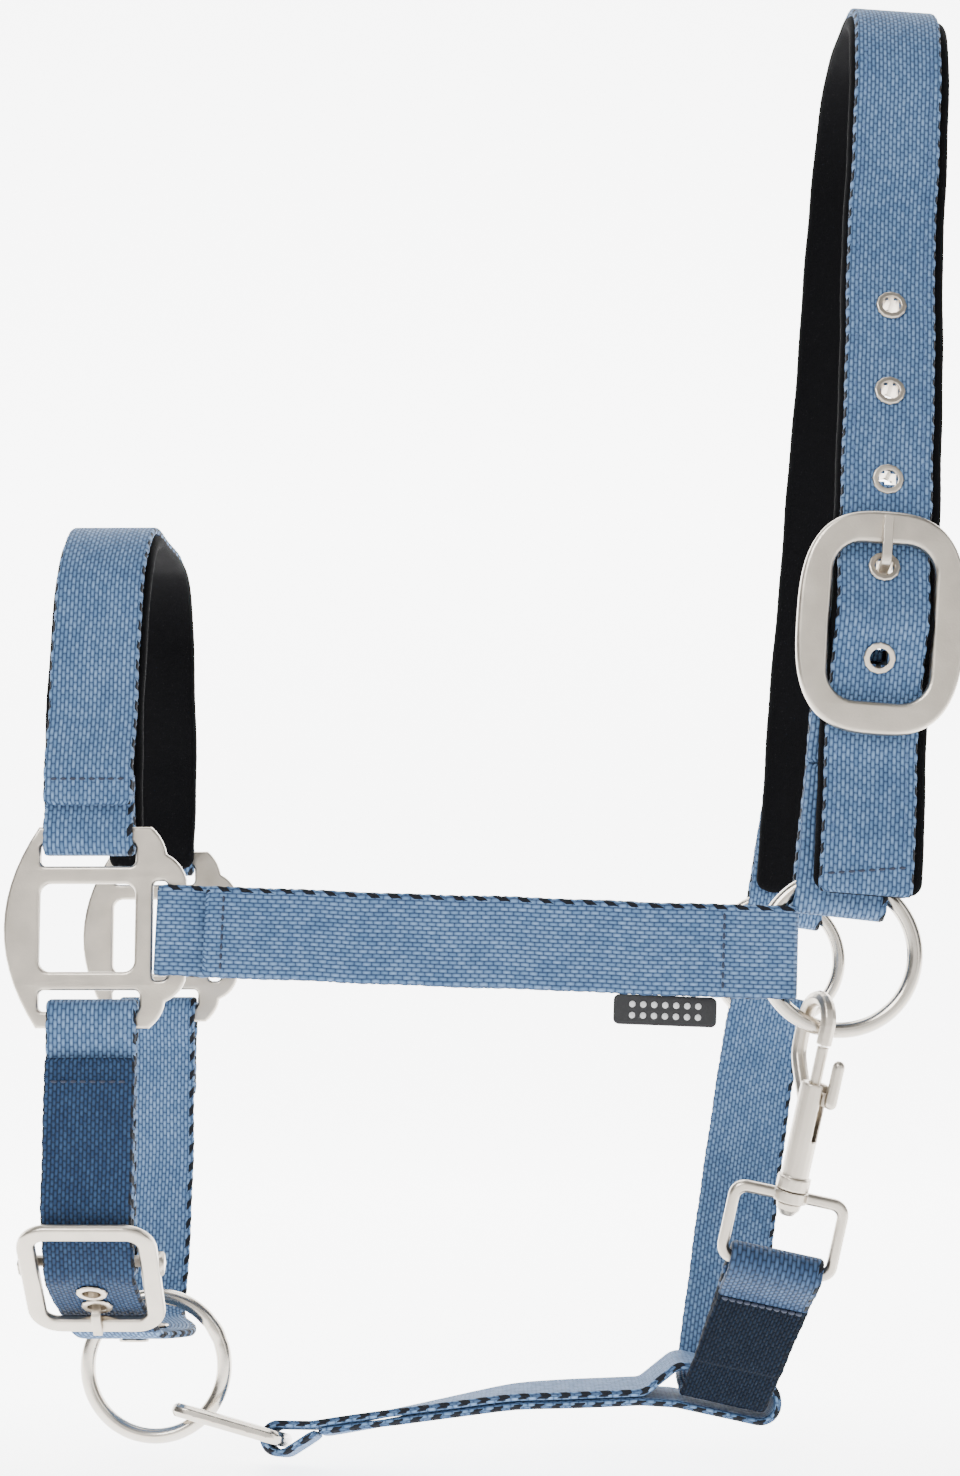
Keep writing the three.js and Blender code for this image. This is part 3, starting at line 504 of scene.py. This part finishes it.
def plain(name, color, roughness):
    """A plain colour with a fine grain, for thread and rubber."""
    shader = Shader(name)
    grain = shader.noise(shader.place(), 1800.0, 2.0)
    shader.set(Base_Color=shader.mix(grain, toned(color, 0.7), toned(color, 1)), Roughness=roughness)
    shader.bump(grain, 0.0001, 0.6)
    return shader.material


BLUE = webbing("webbing_blue", (0.008, 0.018, 0.048, 1), (0.050, 0.110, 0.215, 1), (0.168, 0.275, 0.45, 1))
# Painted shade: a darker copy of the blue webbing for the downward-facing near part of the chin strap
TAIL_SHADE_BLUE = webbing(
    "webbing_tail_shade", (0.0015, 0.004, 0.012, 1), (0.008, 0.022, 0.060, 1), (0.027, 0.062, 0.13, 1), 2.0, 1.1)
# Painted shade: a near-black copy of the blue webbing for the downward-facing near throat run
RUN_SHADE_BLUE = webbing(
    "webbing_run_shade", (0.0006, 0.001, 0.002, 1), (0.0025, 0.005, 0.011, 1), (0.007, 0.013, 0.025, 1),
    3.0, 0.9, 0.02)
LOOP_BLUE = webbing(
    "webbing_shaded", (0.002, 0.005, 0.014, 1), (0.016, 0.038, 0.090, 1), (0.055, 0.105, 0.20, 1))
BLACK_PAD = padding("pad_black", (0.0022, 0.0022, 0.0026))
CAST = nickel("cast_nickel", (0.55, 0.495, 0.42), 1500.0, 0.00009, 0.24, 0.42)
WIRE = nickel("wire_nickel", (0.57, 0.52, 0.45), 500.0, 0.00003, 0.16, 0.30)
EYELET = nickel("eyelet_nickel", (0.60, 0.53, 0.44), 1200.0, 0.00005, 0.24, 0.40)
STEEL = nickel("spring_steel", (0.5, 0.5, 0.5), 900.0, 0.00002, 0.3, 0.4)
THREAD = plain("thread_dark", (0.010, 0.017, 0.04), 0.7)
BLUE_THREAD = plain("thread_blue", (0.06, 0.12, 0.25), 0.7)
RUBBER = plain("tag_rubber", (0.005, 0.005, 0.006), 0.75)
PALE = plain("tag_dots", (0.5, 0.5, 0.5), 0.6)

# ---- Rings ----
SIDES = (("near", -1), ("far", 1))
for side, out in SIDES:
    made = torus(side + "_ring_wire", RING, (RING["x"], out * RING["y"], RING["z"]))
    finished(made, side + "_ring", WIRE, "nickel", side + "_cheek_ring")
made = torus("chin_ring_wire", CHIN_RING, (CHIN_RING["x"], 0.0, CHIN_RING["z"]))
finished(made, "chin_ring", WIRE, "nickel", "chin_ring")


# ---- Outlines of castings ----
def curved(start, control, end, count=14):
    """Points on a quadratic curve after its start."""
    shares = [i / count for i in range(1, count + 1)]
    return [tuple(
        (1 - t) ** 2 * start[k] + 2 * t * (1 - t) * control[k] + t * t * end[k] for k in range(2)
    ) for t in shares]


def rounded(x0, x1, z0, z1, radius, count=6):
    """A rectangle between two x and two z, with round corners."""
    points = []
    for cx, cz, first in ((x1 - radius, z0 + radius, -90), (x1 - radius, z1 - radius, 0),
                          (x0 + radius, z1 - radius, 90), (x0 + radius, z0 + radius, 180)):
        for i in range(count + 1):
            angle = math.radians(first + 90 * i / count)
            points.append((cx + radius * math.cos(angle), cz + radius * math.sin(angle)))
    return points


def window(size, radius, count):
    """A rounded rectangle about zero with a (width, height)."""
    return rounded(-size[0] / 2, size[0] / 2, -size[1] / 2, size[1] / 2, radius, count)


def superellipse(width, height, power=2.8, count=96):
    """An oval between an ellipse and a rectangle."""
    points = []
    for i in range(count):
        angle = 2 * math.pi * i / count
        cosine, sine = math.cos(angle), math.sin(angle)
        points.append((
            width / 2 * math.copysign(abs(cosine) ** (2 / power), cosine),
            height / 2 * math.copysign(abs(sine) ** (2 / power), sine),
        ))
    return points


square_rim = [(-134.2, 44.5)]
square_rim += curved((-134.2, 44.5), (-153.2, 16.2), (-134.2, -12))
square_rim += [(-102.4, -12)]
square_rim += curved((-102.4, -12), (-98.4, -8.6), (-98, -4.6), 5)
square_rim += curved((-98, -4.6), (-93.6, -2.6), (-92.3, 1.4), 5)
square_rim += [(-92.3, 29.6)]
square_rim += curved((-92.3, 29.6), (-93.6, 34.6), (-98, 36.8), 5)
square_rim += curved((-98, 36.8), (-99, 41.6), (-102.4, 44.5), 5)
square_outlines = [
    square_rim,
    rounded(-133.6, -106.7, 33.4, 39.8, 1.5),
    rounded(-133.6, -106.7, 3.8, 28.4, 3),
    rounded(-133.6, -105.1, -7.3, -1.4, 1.5),
    rounded(-101.7, -97.5, 1.4, 29.2, 1.5),
]
for side, out in SIDES:
    square_place = placed(LAYOUT, (0, out * SQUARE_Y, 0))
    made = plate(side + "_square_casting", square_outlines, SQUARE_PLATE, 1.0, square_place)
    finished(made, "root", CAST, "nickel", side + "_square")

CROWN = placed(LAYOUT, (92.5, 0, 0), (0, LEAN, 0))
CHAPE = placed(LAYOUT, (86.4, 0, 0), (0, 6.5, 0))
CHEEKS = placed(LAYOUT, (0, 0, 11.6), (0, 2.2, 0))
NOSE = placed(LAYOUT, (NOSE_X, 0, 0))
CHIN = placed(LAYOUT, (CHIN_X, 0, 0))
THROAT = placed(LAYOUT, (RING["x"], 0, RING["z"]), (0, THROAT_LEAN, 0))
FAR_LOOP = placed(LAYOUT, (RING["x"], 0, RING["z"]), (0, 9, 0))


def buckle_bar(name, size, place):
    """The hidden middle bar of a buckle, on its two lugs."""
    built = bmesh.new()
    reach = size["opening"][0] / 2 + 4.5
    lug_depth = size["back"] + BUCKLE_BAR
    turn = Matrix.Rotation(math.radians(90), 4, "Y")
    bar = Matrix.Translation((0, size["back"], size["bar_at"])) @ turn
    bmesh.ops.create_cone(built, segments=24, radius1=BUCKLE_BAR, radius2=BUCKLE_BAR, depth=2 * reach,
                          cap_ends=True, matrix=bar)
    for side in (-1, 1):
        lug = Matrix.Translation((side * reach, lug_depth / 2, size["bar_at"]))
        bmesh.ops.create_cube(built, size=1, matrix=lug @ Matrix.Diagonal((3.2, lug_depth, 5, 1)))
    bmesh.ops.bevel(built, geom=list(built.edges), offset=0.4, segments=2, affect="EDGES")
    mesh = bpy.data.meshes.new(name)
    built.to_mesh(mesh)
    built.free()
    mesh.transform(place)
    smooth(mesh)
    return finished(linked(name, mesh), "root", CAST, "nickel")


oval = placed(CROWN, (0, BUCKLE["y"], BUCKLE["z"]))
oval_outlines = [superellipse(*BUCKLE["outer"]), window(BUCKLE["opening"], 8, 8)]
made = plate("oval_buckle", oval_outlines, BUCKLE["plate"] + 0.4, 1.35, oval)
finished(made, "root", CAST, "nickel", "crown_buckle_frame")
buckle_bar("oval_buckle_bar", BUCKLE, oval)
chin_oval = placed(CHIN, (0, CHIN_BUCKLE["y"], CHIN_BUCKLE["z"]), (CHIN_TILT, 0, 0))
chin_outlines = [window(CHIN_BUCKLE["outer"], 9, 10), window(CHIN_BUCKLE["opening"], 3, 6)]
made = plate("chin_buckle", chin_outlines, CHIN_BUCKLE["plate"] + 0.2, 1.15, chin_oval)
finished(made, "root", CAST, "nickel", "chin_buckle_frame")
buckle_bar("chin_buckle_bar", CHIN_BUCKLE, chin_oval)

# ---- Castings and small metal pieces from their solids ----
for node, body, voxel, rounds, material, slot in (
    ("crown_buckle_tongue", "crown_tongue", 0.2, 6, CAST, "nickel"),
    ("chin_buckle_tongue", "chin_tongue", 0.2, 5, CAST, "nickel"),
    ("chin_link", "chin_link", 0.3, 6, WIRE, "nickel"),
    ("swivel_eye", "eye", 0.25, 5, CAST, "nickel"),
    ("swivel_rivet", "snap", 0.2, 3, CAST, "nickel"),
    ("snap_body", "snap", 0.25, 7, CAST, "nickel"),
    ("snap_bolt", "bolt", 0.22, 4, CAST, "nickel"),
    ("snap_spring", "snap", 0.1, 2, STEEL, "spring_steel"),
):
    finished(cast(node + "_metal", node, voxel, rounds), body, material, slot, node)
eyelets = [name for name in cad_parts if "eyelet" in name]
for node in eyelets:
    finished(cast(node + "_metal", node, 0.2, 4), "root", EYELET, "eyelet_nickel", node)


EYELET_ROOM = 4.2  # a face this near an eyelet's middle is left out, under its flange


def eyelet_holes(prefix, place):
    """A test for faces inside any of the eyelets' bores, in the strap's own frame."""
    to_strap = place.inverted()
    middles = []
    for node in eyelets:
        if node.startswith(prefix):
            low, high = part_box(node)
            middles.append(np.array(to_strap @ ((low + high) / 2)))

    def gone(point):
        return any(np.linalg.norm(point - middle) < EYELET_ROOM for middle in middles)

    return gone


# ---- Cheek straps ----
CHEEK_TIP = -86.5  # where the outer layer ends, near the square
CHEEK_LIFT = 4.3  # square's middle to the outer layer there
RING_HEM = 55  # where the two layers part to round the ring


def cheek_line(out):
    """From the outer layer's end round the ring's wire and back round the square's bar."""
    bar, wire = SQUARE_Y, RING["y"]
    corners = [
        (CHEEK_TIP, bar + CHEEK_LIFT), (RING_HEM, wire + PITCH / 2, 10), (62, wire + RING_HALF, 6),
        (76.5, wire + RING_HALF, RING_HALF), (76.5, wire - RING_HALF, RING_HALF), (62, wire - RING_HALF, 6),
        (RING_HEM, wire - PITCH / 2, 10), (-86, bar - 0.9, 8), (-91.5, bar - LOOP_HALF, 5),
        (-99.9, bar - LOOP_HALF, LOOP_HALF), (-99.9, bar + LOOP_HALF, LOOP_HALF),
        (-91.5, bar + LOOP_HALF, 5), (-86, bar + 1.7, 6), (-72, bar + 2.8),
    ]
    return route([(corner[0], out * corner[1], *corner[2:]) for corner in corners])


for side, out in SIDES:
    made = strap(side + "_cheek_webbing", cheek_line(out), CHEEKS, ALONG_Z)
    finished(made, "root", BLUE, "webbing_blue", side + "_cheek_strap")
square_side = -(SQUARE_Y + CHEEK_LIFT + SURFACE)
ring_side = -(RING["y"] + PITCH / 2 + SURFACE)


def on_cheek(x):
    """The near cheek strap's outer surface at x."""
    share = (x - CHEEK_TIP) / (RING_HEM - CHEEK_TIP)
    return square_side + (ring_side - square_side) * share


cheek_ends = ((CHEEK_TIP + 5, on_cheek(CHEEK_TIP + 5)), (RING_HEM + 2, ring_side - 0.66))
cheek_rows = [[(x, y, -10.6), (x, y, 10.6)] for x, y in cheek_ends]
stitches("cheek_stitches", cheek_rows, CHEEKS, THREAD)

# ---- Size tag: soft rubber with a generic raised pattern ----
TAG = {"x": 41.8, "y": -72.2, "size": (28.2, 8.2), "thickness": 1.2}
DOT_STEP = 3.0
tag_place = placed(CHEEKS, (TAG["x"], TAG["y"], -WEB_WIDTH / 2 - GAP - TAG["size"][1] / 2))
made = plate("tag_body", [window(TAG["size"], 1.6, 6)], TAG["thickness"], 0.35, tag_place)
finished(made, "root", RUBBER, "tag_rubber", "size_tag")
dots = bmesh.new()
for column in range(7):
    for row in range(2):
        middle = ((column - 3) * DOT_STEP, -TAG["thickness"] / 2 - 0.02, (row - 0.5) * DOT_STEP)
        dot = Matrix.Translation(middle) @ Matrix.Diagonal((0.9, 0.22, 0.9, 1))
        bmesh.ops.create_icosphere(dots, subdivisions=2, radius=1, matrix=dot)
dot_mesh = bpy.data.meshes.new("tag_dots")
dots.to_mesh(dot_mesh)
dots.free()
dot_mesh.transform(tag_place)
smooth(dot_mesh)
finished(linked("tag_dots", dot_mesh), "root", PALE, "tag_rubber")


# ---- Noseband ----
def mirrored(half):
    """Corners from the near end to the top, and again down the far side."""
    return half + [(-c[0], *c[1:]) for c in reversed(half)]


NOSE_END = -62.75
nose_web = mirrored([(NOSE_END, 50.6), (NOSE_END, 61, 10), (-57.9, 76, 20), (-45, NOSE_TOP, 32)])
nose_pad = mirrored([
    (-52.6, 38), (-52.6, 47, 8), (-54.35, 57, 10), (-54.35, 74, 20), (-41.6, NOSE_TOP - PAD_PITCH, 28.6),
])
made = strap("noseband_webbing", route(nose_web), NOSE, ALONG_X)
finished(made, "root", BLUE, "webbing_blue", "noseband_strap")
made = strap("noseband_padding", route(nose_pad), NOSE, ALONG_X, 28.0, PAD, 1.7, 0.12, puff=0.06, tip=4.5)
finished(made, "root", BLACK_PAD, "pad_black", "noseband_pad")


def bar_loop(middle, bar, half, widen, narrow, end):
    """A loop hanging on a bar at a height. Its runs come together from widen to narrow, and stop at end."""
    near, far = middle - PITCH / 2, middle + PITCH / 2
    return route([
        (near, end), (near, narrow, 6), (middle - half, widen, 4), (middle - half, bar, half),
        (middle + half, bar, half), (middle + half, widen, 4), (far, narrow, 6), (far, end),
    ])


for side, out in SIDES:
    line = bar_loop(out * SQUARE_Y, 40.2 - LOOP_HALF, LOOP_HALF, 44.4, 49.4, 60)
    made = strap(side + "_noseband_loop_webbing", line, NOSE, ALONG_X)
    finished(made, "root", BLUE, "webbing_blue", side + "_noseband_loop")
nose_front = NOSE_END - SURFACE
stitches("noseband_stitches", [[(-ROW_HALF, nose_front, 57.8), (ROW_HALF, nose_front, 57.8)]], NOSE, THREAD)

# ---- Crown ----
BEHIND_FRAME = BUCKLE["y"] + BUCKLE["plate"] / 2 + 0.4 + WEB / 2
BAR_Y = BUCKLE["y"] + BUCKLE["back"]
CHAPE_HALF = 3.5  # chape's middle to the middle of the bar it rounds
FRAME_REACH = 20.6  # buckle's middle to where the strap dips behind its frame
OVER_BAR = BAR_Y - CHAPE_HALF - WEB / 2 - PAD_PITCH - PAD / 2 - 1.4
crown_run = [
    (-83.6, 24.5), (-83.4, 38, 12), (BEHIND_FRAME, 60, 12), (BEHIND_FRAME, BUCKLE["z"] - FRAME_REACH, 4),
    (OVER_BAR, BUCKLE["z"], 9), (BEHIND_FRAME, BUCKLE["z"] + FRAME_REACH, 4), (BEHIND_FRAME, 136, 60),
    (-57.5, 215, 120), (-46, CROWN_TOP, 40), (42, CROWN_TOP, 40), (53, 190, 160),
]
crown_web = route(crown_run + [(73.5, 84, 16), (76.75, 66, 10), (76.75, 50.5)])
crown_pad = moved_sideways(route(crown_run + [(69.6, 88, 16), (69.4, 30.5)]), PAD_PITCH)
in_crown_eyelets = eyelet_holes("crown", CROWN)
made = strap("crown_webbing", crown_web, CROWN, ALONG_X, step=0.8, gone=in_crown_eyelets)
finished(made, "root", BLUE, "webbing_blue", "crown_strap")
made = strap("crown_padding", crown_pad, CROWN, ALONG_X, 29.5, PAD, 1.8, 0.12, gone=in_crown_eyelets,
             shift=0.9, puff=0.05, tip=4.5)
finished(made, "root", BLACK_PAD, "pad_black", "crown_pad")


def on_line(line, height, out):
    """The first point at a height, moved off the line's left side."""
    points, _ = spaced(line, 0.8)
    offset = points - rightwards(points) * out
    for i in range(len(points) - 1):
        if (points[i][1] - height) * (points[i + 1][1] - height) <= 0:
            return offset[i]
    raise ValueError("the line doesn't reach that height")


tail_low, tail_high = on_line(crown_web, 29.5, SURFACE), on_line(crown_web, 32.5, SURFACE)
stitches("crown_tail_stitches", [[(-ROW_HALF, *tail_low), (ROW_HALF, *tail_high)]], CROWN, THREAD)
crown_rows = []
for edge in (-9.6, 9.6):
    for heights in (range(37, 78, 4), range(122, 284, 6)):  # below the buckle and above it
        crown_rows.append([(edge, *on_line(crown_web, height, SURFACE)) for height in heights])
stitches("crown_stitches", crown_rows, CROWN, BLUE_THREAD, thread=0.28, pitch=3.0)

ring_low = RING["z"] + 11
ring_near, ring_behind = -RING["y"] - RING_HALF, -RING["y"] + RING_HALF
bar_near, bar_behind = BAR_Y - CHAPE_HALF, BAR_Y + CHAPE_HALF
bar_top = BUCKLE["z"] + 0.3 + CHAPE_HALF
front, rear = -72.1, -69.6
chape_line = route([
    (front, 60), (-73.25, 46, 10), (ring_near, 34, 6), (ring_near, ring_low, RING_HALF),
    (ring_behind, ring_low, RING_HALF), (ring_behind, 34, 6), (-70.75, 46, 10), (rear, 62, 20),
    (rear, 78, 15), (bar_behind, BUCKLE["z"] - 2, 6), (bar_behind, bar_top, CHAPE_HALF),
    (bar_near, bar_top, CHAPE_HALF), (bar_near, BUCKLE["z"] - 2.2, 2), (-73.3, 91, 4), (front, 81, 8),
    (front, 60.6),
])


def in_tongue_slot(point):
    """The cut in the chape's fold that lets the tongue through."""
    return abs(point[0] - 2.8) < 2.4 and point[2] > BUCKLE["z"] - 6


made = strap("crown_chape_webbing", chape_line, CHAPE, ALONG_X, gone=in_tongue_slot)
finished(made, "root", BLUE, "webbing_blue", "near_crown_chape")
ring_in, ring_out = RING["y"] - RING_HALF, RING["y"] + RING_HALF
loop_in, loop_out = 72.65 - PITCH / 2, 72.65 + PITCH / 2
RING_FOLD = 12.6  # ring's middle to where a strap folds inside it
far_loop_line = route([
    (loop_in, 54), (loop_in, 30, 6), (ring_in, 21.5, 4), (ring_in, RING_FOLD, RING_HALF),
    (ring_out, RING_FOLD, RING_HALF), (ring_out, 21.5, 4), (loop_out, 30, 6), (loop_out, 54),
])
made = strap("far_crown_loop_webbing", far_loop_line, FAR_LOOP, ALONG_X)
finished(made, "root", BLUE, "webbing_blue", "far_crown_loop")

# ---- Chin ----
tilt = math.radians(CHIN_TILT)
BAR_AT = CHIN_BUCKLE["bar_at"]


def on_chin(t, o, radius=0.0):
    """A point by the chin buckle: t towards its top bar, o outwards."""
    return (
        CHIN_BUCKLE["y"] - t * math.sin(tilt) - o * math.cos(tilt),
        CHIN_BUCKLE["z"] + t * math.cos(tilt) - o * math.sin(tilt),
        radius,
    )


BAR_REACH = -7.7 + LOOP_HALF
TAIL_Y = -62.8
bar_out, bar_in = SQUARE_Y + LOOP_HALF, SQUARE_Y - LOOP_HALF
chin_line = route([
    (SQUARE_Y + PITCH / 2, -36), (SQUARE_Y + PITCH / 2, -20, 6), (bar_out, -13.6, 4),
    (bar_out, BAR_REACH, LOOP_HALF), (bar_in, BAR_REACH, LOOP_HALF), (bar_in, -13.6, 4),
    (SQUARE_Y - PITCH / 2, -20, 6), (56.5, -60, 60), (49, -105.2, 22), (0, -104, 90), (-26, -101, 14),
    on_chin(-16, -3.4, 4), on_chin(BAR_AT, 2.9, 8), on_chin(16, -3.4, 4), (TAIL_Y, -60, 8), (TAIL_Y, -20),
])


PULL_REACH = 46  # middle of the halter to where the chin strap isn't drawn any more


def pulled(point):
    """Under the chin the strap is drawn towards the poll by the ring that it carries."""
    under_chin = abs(point[1]) < PULL_REACH and point[2] < -85
    share = math.cos(math.pi * point[1] / (2 * PULL_REACH)) ** 2 if under_chin else 0.0
    return np.array([9.0 * share, 0, 0])


in_chin_eyelets = eyelet_holes("chin", CHIN)
made = strap("chin_webbing", chin_line, CHIN, ALONG_X, warp=pulled, gone=in_chin_eyelets, step=0.8)
finished(made, "root", BLUE, "webbing_blue", "chin_strap")
# painted shade: the near part of the chin strap, facing down, takes the darker copy of the webbing
second_finish(made, CHIN, TAIL_SHADE_BLUE, lambda point: point.y < -30)
around = BUCKLE_BAR + GAP + WEB / 2
bar_depth = -CHIN_BUCKLE["back"]
below_bar = BAR_AT - around
behind_bar, before_bar = bar_depth - around, bar_depth + around
chape_out, chape_in = -60.2, -57.7
chin_chape_line = route([
    (chape_out, -38), (chape_out, -20, 6), (-bar_out, -13.6, 4), (-bar_out, BAR_REACH, LOOP_HALF),
    (-bar_in, BAR_REACH, LOOP_HALF), (-bar_in, -13.6, 4), (chape_in, -20, 6), (chape_in, -57, 10),
    on_chin(BAR_AT + 3, behind_bar, 6), on_chin(below_bar, behind_bar, around),
    on_chin(below_bar, before_bar, around), on_chin(BAR_AT + 2, before_bar, 3),
    on_chin(BAR_AT + 9, -4.8, 6), (chape_out, -60, 8), (chape_out, -38.6),
])
slot_y, slot_z, _ = on_chin(BAR_AT, bar_depth)


def in_chin_slot(point):
    """The cut in the chape's fold that lets the chin buckle's tongue through."""
    return abs(point[0]) < 2.4 and abs(point[1] - slot_y - 1) < 6 and abs(point[2] - slot_z + 2) < 6.5


made = strap("chin_chape_webbing", chin_chape_line, CHIN, ALONG_X, gone=in_chin_slot)
finished(made, "root", BLUE, "webbing_blue", "near_chin_chape")
tail_front = TAIL_Y - SURFACE
stitches("chin_stitches", [[(-ROW_HALF, tail_front, -26.5), (ROW_HALF, tail_front, -26.5)]], CHIN, THREAD)

# ---- Throat ----
snap_lean = math.radians(SNAP_LEAN)
SNAP_OUT, SNAP_LENGTH = 6.5, 65.4  # ring's wire to the swivel eye's bar, across and along the snap
foot_bar = Vector((
    -RING["y"] - SNAP_OUT * math.cos(snap_lean) + SNAP_LENGTH * math.sin(snap_lean),
    -RING_RADIUS - SNAP_OUT * math.sin(snap_lean) - SNAP_LENGTH * math.cos(snap_lean),
))
throat_foot = Vector((-14, -133.5))
rise = (foot_bar - throat_foot).normalized()
outward = Vector((-rise.y, rise.x))


def by_foot(behind, out, radius=0.0):
    """A point by the eye's bar: so far behind it down the strap, and so far outwards."""
    return (*(foot_bar - rise * behind + outward * out), radius)


FOOT = 3.5  # strap's middle to the middle of the eye's bar
throat_line = route([
    (68.9, -44), (72.3, -32, 8), (ring_out, -21.5, 5), (ring_out, -RING_FOLD, RING_HALF),
    (ring_in, -RING_FOLD, RING_HALF), (ring_in, -25, 6), (69.3, -30, 8), (66.1, -44.5, 40), (59.5, -62, 60),
    (39, -90, 60), (15, -131, 12), (*throat_foot, 12), by_foot(12, -PITCH / 2, 6), by_foot(3, -FOOT, 4),
    by_foot(-FOOT, -FOOT, FOOT), by_foot(-FOOT, FOOT, FOOT), by_foot(3, FOOT, 4), by_foot(12, PITCH / 2, 6),
    by_foot(50, PITCH / 2),
])
made = strap("throat_webbing", throat_line, THROAT, ALONG_X)
finished(made, "root", BLUE, "webbing_blue", "throat_strap")


HEM = 15.0  # eye's bar to the hem of the loop over it


def above_foot(point):
    """How far up the near run a point lies from the eye's bar."""
    return (Vector((point.y, point.z)) - foot_bar).dot(rise)


def near_run(point):
    """The doubled run that rises to the snap on the near side, below the hem of its loop."""
    return point.y < -12 and above_foot(point) < -HEM


def foot_loop(point):
    """The loop over the swivel eye's lower bar, above its hem."""
    return point.z < -30 and -HEM < above_foot(point) < 6


# painted shade: the near run, facing down, takes the near-black copy of the webbing
second_finish(made, THROAT, RUN_SHADE_BLUE, near_run)
second_finish(made, THROAT, LOOP_BLUE, foot_loop)
hem_row = by_foot(HEM + 1, PITCH / 2 + SURFACE + 0.03)[:2]
stitches("throat_stitches", [[(-11.4, *hem_row), (11.4, *hem_row)]], THROAT, THREAD, thread=0.6, pitch=1.9)

# ---- Jaw strap ----
JAW_HALF = LINK["wire"] / 2 + GAP + WEB / 2 + 0.7  # strap's middle to the middle of the link's end
link_left = LINK["x"] - JAW_HALF
link_over, link_under = LINK["z"] + JAW_HALF, LINK["z"] - JAW_HALF
jaw_line = route([
    (-58, -133.2), (-35, -129.7, 60), (0, -123.6, 80), (37, -122, 10), (47.5, -122.6, 10),
    (78.6, -129.2, 5.4), (76.6, -117.2, 5), (48.5, -111.2, 5), (38, -119.4, 5), (0, -121, 80),
    (-35, -127.1, 60), (-60, -131.2, 10), (LINK["x"] + 1, link_over, 4),
    (link_left, link_over + 0.4, JAW_HALF), (link_left, link_under, JAW_HALF),
    (LINK["x"] + 2, link_under, 4), (-59, -133.5),
])


def rolled(point):
    """Towards the link the jaw strap rolls with it, its far side lower."""
    share = min(1.0, max(0.0, (-point[0] + 20) / 80))
    share = share * share * (3 - 2 * share)
    return np.array([0, 0, -point[1] * math.tan(math.radians(LINK["roll"])) * share])


made = strap("jaw_webbing", jaw_line, LAYOUT, ALONG_Y, WEB_WIDTH - 1, warp=rolled)
finished(made, "root", BLUE, "webbing_blue", "jaw_strap")

# ---- Floor, backdrop, light and camera ----
def studio_sweep():
    """A floor just under the halter that curves up into a backdrop, in metres."""
    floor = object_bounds()[0][2] - 0.002
    behind, bend, half_width = 0.9, 0.6, 3.5
    profile = [(-1.6, floor), (behind, floor)]
    for i in range(1, 13):
        angle = math.radians(90 * i / 12)
        profile.append((behind + bend * math.sin(angle), floor + bend * (1 - math.cos(angle))))
    profile.append((behind + bend, floor + 3.2))
    mesh = bpy.data.meshes.new("studio_sweep")
    vertices = [(x, y, z) for y, z in profile for x in (-half_width, half_width)]
    faces = [(2 * i, 2 * i + 1, 2 * i + 3, 2 * i + 2) for i in range(len(profile) - 1)]
    mesh.from_pydata(vertices, [], faces)
    smooth(mesh)
    return linked("studio_sweep", mesh)


def studio_white():
    """Pale and matt, glowing more towards the back so that the backdrop stays white."""
    white = Shader("studio_white")
    spot = white.nodes.new("ShaderNodeSeparateXYZ")
    white.links.new(white.place(), spot.inputs[0])
    depth = white.math("MULTIPLY_ADD", spot.outputs[1], 2.0, 0.75)
    share = white.math("MINIMUM", white.math("MAXIMUM", depth, 0.06), 1.0)
    white.set(Base_Color=(0.86, 0.86, 0.86, 1), Roughness=0.9, Emission_Color=(1, 1, 1, 1))
    white.set(Emission_Strength=white.math("MULTIPLY", share, 5.4))
    return white.material


sweep = studio_sweep()
sweep.data.materials.append(studio_white())
sweep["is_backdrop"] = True

world = bpy.data.worlds.new("studio")
world.use_nodes = True
background = world.node_tree.nodes["Background"]
background.inputs["Color"].default_value = (0.92, 0.95, 1.0, 1)
background.inputs["Strength"].default_value = 0.25
bpy.context.scene.world = world


def soft_light(name, position, target, size, watts):
    """A rectangular area light aimed at a point, in metres."""
    data = bpy.data.lights.new(name, "AREA")
    data.shape = "RECTANGLE"
    data.size, data.size_y = size
    data.energy = watts
    lamp = bpy.data.objects.new(name, data)
    lamp.location = position
    lamp.rotation_euler = (Vector(target) - Vector(position)).to_track_quat("-Z", "Y").to_euler()
    bpy.context.scene.collection.objects.link(lamp)


CENTRE = (-0.115, 0.0, -0.21)
soft_light("key", (-0.9, -1.3, 0.9), CENTRE, (0.9, 0.9), 38)
soft_light("fill", (1.1, -1.1, 0.2), CENTRE, (0.7, 1.2), 7)
soft_light("front", (-0.1, -1.7, -0.1), CENTRE, (1.8, 1.6), 13)
soft_light("top", (-0.1, 0.2, 1.2), CENTRE, (1.0, 1.0), 16)

camera_data = bpy.data.cameras.new("camera")
camera_data.sensor_fit = "VERTICAL"
camera_data.sensor_height = 36
camera_data.lens = 55.1
camera_data.clip_start = 0.01
camera = bpy.data.objects.new("camera", camera_data)
camera.location = LAYOUT @ Vector((0, -695, 0))
camera.rotation_euler = (math.radians(96.25), 0, math.radians(0.87))
bpy.context.scene.collection.objects.link(camera)
bpy.context.scene.camera = camera
